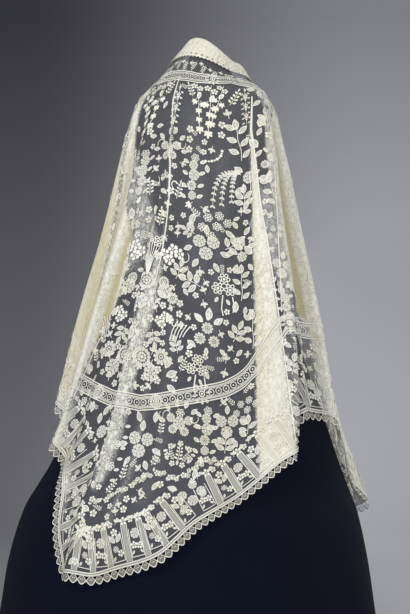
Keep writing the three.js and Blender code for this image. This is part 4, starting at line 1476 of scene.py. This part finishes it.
def ground_is_free(flat, away, drop):
    for centre, low, wide, high in OPEN_GROUND:
        middle = to_flat(CENTRE + math.copysign(centre, away), low)
        if ((flat[0] - middle[0]) / wide) ** 2 + ((flat[1] - middle[1]) / high) ** 2 < 1:
            return False
    if abs(drop - band_drop(abs(away))) < 26 or abs(drop - top_drop(abs(away))) < 24:
        return False
    if solid_at(CENTRE + away, drop) > LOST_IN_LACE:
        return False
    return drop > 135 and from_hem(flat)[0] > BORDER_DEPTH + 6


def fill_with_sprigs():
    taken = np.array([mark[:2] for rows in marks.values() for mark in rows])
    added = 0
    for row, drop in enumerate(np.arange(140.0, 1290.0, SPRIG_STEP)):
        step = SPRIG_STEP / ((FAN_RADIUS + drop) * FAN_ANGLE / 2)
        for k, across in enumerate(np.arange(-0.97, 0.97, step)):
            across += (row % 2) * step / 2
            if not ground_is_free(to_flat(across, drop), across - CENTRE, drop):
                continue
            place = to_flat(across, drop)
            if np.min(np.sum((taken - place) ** 2, axis=1)) < SPRIG_ROOM**2:
                continue
            kind, size = SPRIGS[(k + 2 * row) % len(SPRIGS)]
            marks[kind].append((*place, TURN_STEP * (k + row), size))
            taken = np.vstack([taken, place])
            added += 1
    return added


print("sprigs added:", fill_with_sprigs())

# %% [markdown]
# ## Sewing it on
# Now the trees run once for each motif, and once for all stems, tapes and painted fold highlights. Every
# result is a plain mesh that rides on the form, and the helpers are removed at the end.

# %% Run the trees
pieces = []
shared = {"Drape": helper, "Flat size": FLAT_SIZE, "Lift": LIFT, "Material": thread_material}
for kind, make in MOTIFS.items():
    rows = np.array(marks[kind], float)
    motif = stitched(make).object(kind + "_motif")
    points = np.column_stack([rows[:, :2] * MM, np.zeros(len(rows))])
    source = mesh_object(kind + "_marks", points, [], {"turn": rows[:, 2], "size": rows[:, 3]})
    piece = run_tree(source, motif_tree, kind + "_motifs", {"Motif": motif, **shared})
    bpy.data.objects.remove(motif)
    pieces.append(piece)
    print(f"{kind}: {len(rows)} marks, {len(piece.data.polygons)} faces")
tapes = run_tree(stems.object("stems"), work_tree, "stems_and_tapes", shared)
pieces.append(tapes)
print("stems and tapes:", len(tapes.data.polygons), "faces")

# %% [markdown]
# ## Pointed edging
# The edging is a narrow strip along the hem: a header, then pointed loops with a three-sided gap between
# each two. Its repeats have to meet exactly round every fold, so each one is bent along the hem in code, from
# a table that gives each corner's place along the repeat and away from the hem.

# %% Edging loops
EDGE_DEPTH, EDGE_PITCH = 21.0, 19.0
STRETCH_ENDS = (-1, -0.86, -0.72, -0.44, -0.14, -0.03, 0.08, 0.3, 0.4, 0.54, 0.76, 1)


def edging_shape():
    """One repeat as outlined shapes, with x from 0 to 100 along the hem and y from 0 to 100 outwards."""
    made = Stitching()
    made.strip([(0, 5), (50, 5), (100, 5)], 9)
    for side in (-1, 1):
        made.strip([(50, 52), (50 + 18 * side, 32), (50 + 36 * side, 10)], 6)
    for side in (-1, 1):
        made.strip([(50, 52), (50 + 14 * side, 70), (50 + 32 * side, 90), (50 + 50 * side, 98)], 10)
    for x in (10, 90):
        made.dot(circle(x, 45, 6, 6))
    half = [(0, 10), (14, 12), (44, 47), (16, 82), (0, 95)]
    start = made.loop(half, MIDDLE_HEIGHT, 0.1)
    made.faces.append(tuple(start + k for k in range(5)))
    start = made.loop([(100 - x, y) for x, y in half], MIDDLE_HEIGHT, 0.1)
    made.faces.append(tuple(start + k for k in reversed(range(5))))
    return made


def make_edging():
    shape = edging_shape()
    local = np.array(shape.points)
    points, rims, faces = [], [], []
    repeats = 0
    for start, end in zip(STRETCH_ENDS[:-1], STRETCH_ENDS[1:]):
        fine = np.linspace(start, end, 1201)
        hem = on_grid(cloth, fine, hem_drop(fine))
        far = np.concatenate([[0], np.cumsum(np.linalg.norm(np.diff(hem, axis=0), axis=1))])
        number = max(1, int(round(far[-1] / EDGE_PITCH)))
        for k in range(number):
            across = np.interp(far[-1] * (k + local[:, 0] / 100) / number, far, fine)
            base = to_flat(across, hem_drop(across))
            low, high = np.clip(across - 0.003, -1, 1), np.clip(across + 0.003, -1, 1)
            ahead = to_flat(high, hem_drop(high)) - to_flat(low, hem_drop(low))
            ahead /= np.linalg.norm(ahead, axis=1, keepdims=True)
            flat = base + np.stack([-ahead[:, 1], ahead[:, 0]], -1) * local[:, 1:2] / 100 * EDGE_DEPTH
            faces += [tuple(len(rims) + c for c in face) for face in shape.faces]
            points += [(x, y, h) for (x, y), h in zip(flat, local[:, 2])]
            rims += shape.rims
        repeats += number
    made = mesh_object("edging_flat", np.array(points) * MM, faces, {"rim": rims})
    print("edging:", repeats, "loops")
    return run_tree(made, work_tree, "pointed_edging", {**shared, "Lift": 0.0, "Material": edging_material})


edging = make_edging()


# %% [markdown]
# ## The turned-over collar
# At the nape the shawl's long edge is folded outwards. This strip lies on the cloth a few millimetres away
# from it and shows the wrong side of the same border: upright bars, a tape, a row of small round holes and
# short points along its free edge. It is a sheet on the drape's own points, with a soft roll at its top.

# %% Collar sheet
COLLAR_DEPTH, COLLAR_FRONT = 62.0, 34.0
COLLAR_PATH = np.array([(0.0, -1.6, -0.6), (0.02, -2.4, 1.4), (0.05, -1.2, 3.8), (0.12, 6, 4.9),
                        (0.5, 30, 5.8), (1.0, 62, 7.4)])
COLLAR_COLUMNS, COLLAR_ROWS = 640, 26
TOOTH_COUNT = 88


def collar_place(across, share):
    """Points on the collar and their outward directions. share runs from the roll to the free edge."""
    depth = COLLAR_DEPTH + (COLLAR_FRONT - COLLAR_DEPTH) * across**2
    depth = depth - 9 * np.exp(-(((np.abs(across) - 0.2) / 0.12) ** 2))
    down = np.interp(share, COLLAR_PATH[:, 0], COLLAR_PATH[:, 1])
    down = np.where(down < 0, down, down * depth / COLLAR_DEPTH)
    down = down - np.clip(share - 0.9, 0, 1) * 34 * np.abs(np.cos(across * np.pi * TOOTH_COUNT / 2))
    off = np.interp(share, COLLAR_PATH[:, 0], COLLAR_PATH[:, 2])
    flute = 0.8 * np.sin(across * 150 + 3 * np.sin(across * 31)) * np.sin(np.pi * share)
    at = np.maximum(down, 0)
    fall = on_grid(smooth_cloth, across, at + 8) - on_grid(smooth_cloth, across, at)
    fall /= np.linalg.norm(fall, axis=-1, keepdims=True)
    facing = on_grid(outward, across, at)
    lifted = facing * (off + flute)[..., None] + fall * (down - at)[..., None]
    return on_grid(smooth_cloth, across, at) + lifted, facing


def make_collar():
    """The strip as one sheet, with rows closer together at the roll. Its UV counts teeth and depth."""
    columns, rows = np.linspace(-1, 1, COLLAR_COLUMNS + 1), np.linspace(0, 1, COLLAR_ROWS + 1) ** 1.15
    across, share = np.meshgrid(columns, rows, indexing="ij")
    points = collar_place(across, share)[0].reshape(-1, 3) * MM
    flat = np.stack([across * TOOTH_COUNT, share], -1).reshape(-1, 2)
    made = mesh_object("turned_over_edge", points, grid_faces(COLLAR_COLUMNS, COLLAR_ROWS), None, flat)
    make_smooth(made)
    return made


HOLES_AT, HOLE_PITCH = 0.82, 3.0  # share of the collar's depth, and teeth from one hole to the next
TOOTH_WIDE = 4.4  # mm of collar to one tooth


def collar_strength(tree, grain):
    """Solid lace with a row of small round holes above the free edge."""
    place = node(tree, "ShaderNodeUVMap", uv_map="flat").outputs[0]
    from_row = vector_maths(tree, "SUBTRACT", place, (0.0, HOLES_AT, 0.0))
    part = node(tree, "ShaderNodeSeparateXYZ", {0: from_row})
    u = maths(tree, "WRAP", part.outputs["X"], HOLE_PITCH / 2, -HOLE_PITCH / 2)
    v = maths(tree, "MULTIPLY", part.outputs["Y"], COLLAR_DEPTH / TOOTH_WIDE)
    aside = node(tree, "ShaderNodeCombineXYZ", {0: u, 1: v}).outputs[0]
    away = node(tree, "ShaderNodeVectorMath", {0: aside}, operation="LENGTH").outputs["Value"]
    alpha = maths(tree, "MULTIPLY", mapped(tree, away, 0.42, 0.62, 0.1, 0.97), grain["Mask"], clamp=True)
    lace = node(tree, "ShaderNodeGroup", {"Flowers per metre": 105.0}, node_tree=crowded_lace).outputs
    gaps = mapped(tree, lace["Mask"], to_min=1.0, to_max=0.0)
    return maths(tree, "MULTIPLY_ADD", grain["Aged"], 0.3, gaps, clamp=True), alpha


collar_material = lace_material("collar_lace", COLLAR_CLEAN, COLLAR_GAPS, collar_strength, bump=0.5)
collar = make_collar()
collar.data.materials.append(collar_material)
print("collar:", len(collar.data.polygons), "quads")


# %% Bars and tapes on the collar
BAR_PAIRS = 58


def collar_work():
    """Short upright bars and three tapes, laid on the collar's own points."""
    points, rims, faces = [], [], []

    def quad_strip(across, share, width_across, width_share):
        start = len(points)
        for a, s in zip(across, share):
            for side in (-0.5, 0.5):
                spot, facing = collar_place(np.array(a + side * width_across),
                                            np.array(s + side * width_share))
                points.append(spot + facing * 0.9)
                rims.append(1.0)
        for k in range(len(across) - 1):
            faces.append((start + 2 * k, start + 2 * k + 2, start + 2 * k + 3, start + 2 * k + 1))

    for share, width in ((0.6, 0.04), (0.7, 0.03), (0.94, 0.05)):
        quad_strip(np.linspace(-0.998, 0.998, 400), np.full(400, share), 0.0, -width)
    for k in range(BAR_PAIRS):
        for aside in (-0.0045, 0.0045):
            a = -0.99 + 1.98 * (k + 0.5) / BAR_PAIRS + aside
            quad_strip([a, a, a], [0.24, 0.4, 0.56], 0.005, 0.0)
    made = mesh_object("collar_bars", np.array(points) * MM, faces, {"rim": rims})
    made.data.materials.append(edging_material)
    return made


collar_bars = collar_work()
print("collar bars:", len(collar_bars.data.polygons), "quads")

# %% [markdown]
# ## The display form
# The shawl rests on a form without arms: a torso with a neck stub, and a bell that carries the lower half of
# the cloth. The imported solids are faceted, so two smooth shells stand for them, lofted through the same
# sections with more sides and rows, and drawn in by a few millimetres so that they stay clear of the net.
# Only the neck is up to a centimetre wider than its solid, to close the view through the neck opening.

# %% Lofted shells
TORSO = np.array([  # z, left, right, back, front, ahead
    (1474, 58, 48, 46, 48, 36), (1440, 64, 60, 50, 52, 34), (1412, 90, 86, 69, 62, 26),
    (1392, 127, 118, 80, 70, 16), (1368, 168, 158, 93, 88, 6), (1330, 192, 182, 107, 118, 1),
    (1260, 200, 190, 115, 156, 0), (1190, 184, 182, 110, 180, 0), (1120, 156, 162, 102, 156, 0),
    (1038.5, 129, 133, 94, 114, 0)], float)
BELL = np.array([
    (1038, 131, 135, 97, 117, 0), (990, 156, 158, 142, 150, 0), (930, 184, 184, 184, 184, 0),
    (850, 218, 218, 226, 216, 0), (750, 254, 254, 272, 248, 0), (650, 284, 286, 306, 278, 0),
    (560, 314.5, 318.5, 340.9, 308, 0), (450, 354.5, 356.8, 398, 340, 0),
    (385, 398, 388, 430, 348, 0), (320, 438, 420, 464, 355, 0), (210, 464, 450, 507, 364, 0),
    (100, 474, 468, 534, 375, 0), (0, 483, 483, 556, 386, 0)], float)
DRAWN_IN = 2.5  # mm that a shell lies inside its solid
LOFT_SIDES, LOFT_ROWS = 120, 8  # faces round a shell, and between two rows of its table
ROUNDED = 4  # mm of height in the small rounding at the torso's top and the bell's foot


def loft(name, table, material, round_top=0, round_foot=0):
    """A closed smooth shell through level sections, with both end faces drawn in a little."""
    place = np.linspace(0, len(table) - 1, LOFT_ROWS * (len(table) - 1) + 1)
    z, left, right, back, front, ahead = (between(table[:, k], place)[:, None] for k in range(6))
    turn = 2 * np.pi * np.arange(LOFT_SIDES)[None, :] / LOFT_SIDES
    x = -(np.where(np.sin(turn) > 0, right, left) - DRAWN_IN) * np.sin(turn)
    y = (np.where(np.cos(turn) > 0, back, front) - DRAWN_IN) * np.cos(turn) - ahead + SHIFT
    points = np.stack([x, y, z + 0 * x], -1)
    ends = []
    for ring, share in ((points[:1], 0.93), (points[-1:], 0.985)):
        middle = ring.mean(axis=1, keepdims=True)
        ends.append(middle + (ring - middle) * share)
    points[0, :, 2] -= round_top
    points[-1, :, 2] += round_foot
    points = np.concatenate([ends[0], points, ends[1]])
    count = len(points)
    i, j = np.meshgrid(np.arange(count - 1), np.arange(LOFT_SIDES), indexing="ij")
    a, b = (i * LOFT_SIDES + j).ravel(), (i * LOFT_SIDES + (j + 1) % LOFT_SIDES).ravel()
    faces = [tuple(f) for f in np.stack([a, a + LOFT_SIDES, b + LOFT_SIDES, b], -1)]
    faces.append(tuple(range(LOFT_SIDES)))
    faces.append(tuple((count - 1) * LOFT_SIDES + k for k in reversed(range(LOFT_SIDES))))
    made = mesh_object(name, points.reshape(-1, 3) * MM, faces)
    make_smooth(made, flat_faces=2)
    made.data.materials.append(material)
    return made


torso = loft("torso_shell", TORSO, torso_material, round_top=ROUNDED)
bell = loft("bell_shell", BELL, bell_material, round_foot=ROUNDED)
print("form:", len(torso.data.polygons), "and", len(bell.data.polygons), "faces")

# %% [markdown]
# ## Riding and replacing
# Every piece rides on the model's one body. The net stands for all stretches of net, the edging for their
# edgings, the turned-over strip for the collar and the shells for the form. The net is a three-cornered
# cut about three metres wide and one and a half deep.

# %% Bodies and hidden parts
nets = sorted(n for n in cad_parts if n.endswith("_net"))
edgings = sorted(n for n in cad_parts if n.endswith("_edging"))
bpy.data.objects.remove(helper)
for piece in [net, *pieces, edging, collar, collar_bars, torso, bell]:
    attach(piece, "root")
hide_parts(*nets)
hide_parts(*edgings)
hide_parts("turned_over_collar")
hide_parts("form_torso")
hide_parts("form_bell")


# %% [markdown]
# ## Floor and backdrop
# A pale floor runs back and curves up into a mid-grey wall. It belongs to the stage and not to the object.

# %% Sweep
SWEEP_HALF, SWEEP_NEAR, SWEEP_FAR, SWEEP_TOP = 6.0, 5.0, -3.4, 5.0  # metres from the axis, and the height
BEND = 1.6  # radius where the floor curves up into the wall
LIGHT_GREY, DARK_GREY = (0.56, 0.56, 0.585, 1), (0.06, 0.06, 0.073, 1)


def sweep_paint():
    """Grey with painted shade that darkens it upwards and to the left. From behind it is clear, so it doesn't
    hide the shawl.
    """
    paint, tree, shader = new_material("sweep_paint", rough=0.9, sheen=0.0, specular=0.1)
    place = node(tree, "ShaderNodeTexCoord").outputs["Object"]
    height = node(tree, "ShaderNodeSeparateXYZ", {0: place}).outputs["Z"]
    sideways = node(tree, "ShaderNodeVectorMath", {0: place, 1: tuple(RIGHT)}, operation="DOT_PRODUCT")
    aside = sideways.outputs["Value"]
    # Painted shade: the wall's grey darkens with height and towards the left.
    lighter = mapped(tree, aside, -0.8, 0.9, interpolation_type="SMOOTHSTEP")
    high = mapped(tree, height, from_max=2.2)
    dark = maths(tree, "MULTIPLY_ADD", high, 0.3, 0.7)
    step = maths(tree, "MULTIPLY_ADD", high, 0.6, -1.22)
    ramp = node(tree, "ShaderNodeValToRGB", {0: maths(tree, "MULTIPLY_ADD", lighter, step, dark, clamp=True)})
    for element, colour in zip(ramp.color_ramp.elements, (LIGHT_GREY, DARK_GREY)):
        element.color = colour
    tree.links.new(ramp.outputs[0], shader["Base Color"])
    behind = node(tree, "ShaderNodeNewGeometry").outputs["Backfacing"]
    tree.links.new(maths(tree, "SUBTRACT", 1.0, behind), shader["Alpha"])
    return paint


def make_sweep():
    turns = np.linspace(0.1, math.pi / 2, 16)
    bend = SWEEP_FAR + BEND
    curve = [(bend - BEND * math.sin(t), BEND - BEND * math.cos(t)) for t in turns]
    profile = [(SWEEP_NEAR, 0.0), (bend, 0.0), *curve, (SWEEP_FAR, SWEEP_TOP)]
    points = [AXIS + d * TOWARDS + s * SWEEP_HALF * RIGHT + (0, 0, h) for d, h in profile for s in (-1, 1)]
    faces = [(2 * k, 2 * k + 1, 2 * k + 3, 2 * k + 2) for k in range(len(profile) - 1)]
    made = mesh_object("sweep", points, faces)
    make_smooth(made)
    made.data.materials.append(sweep_paint())


make_sweep()
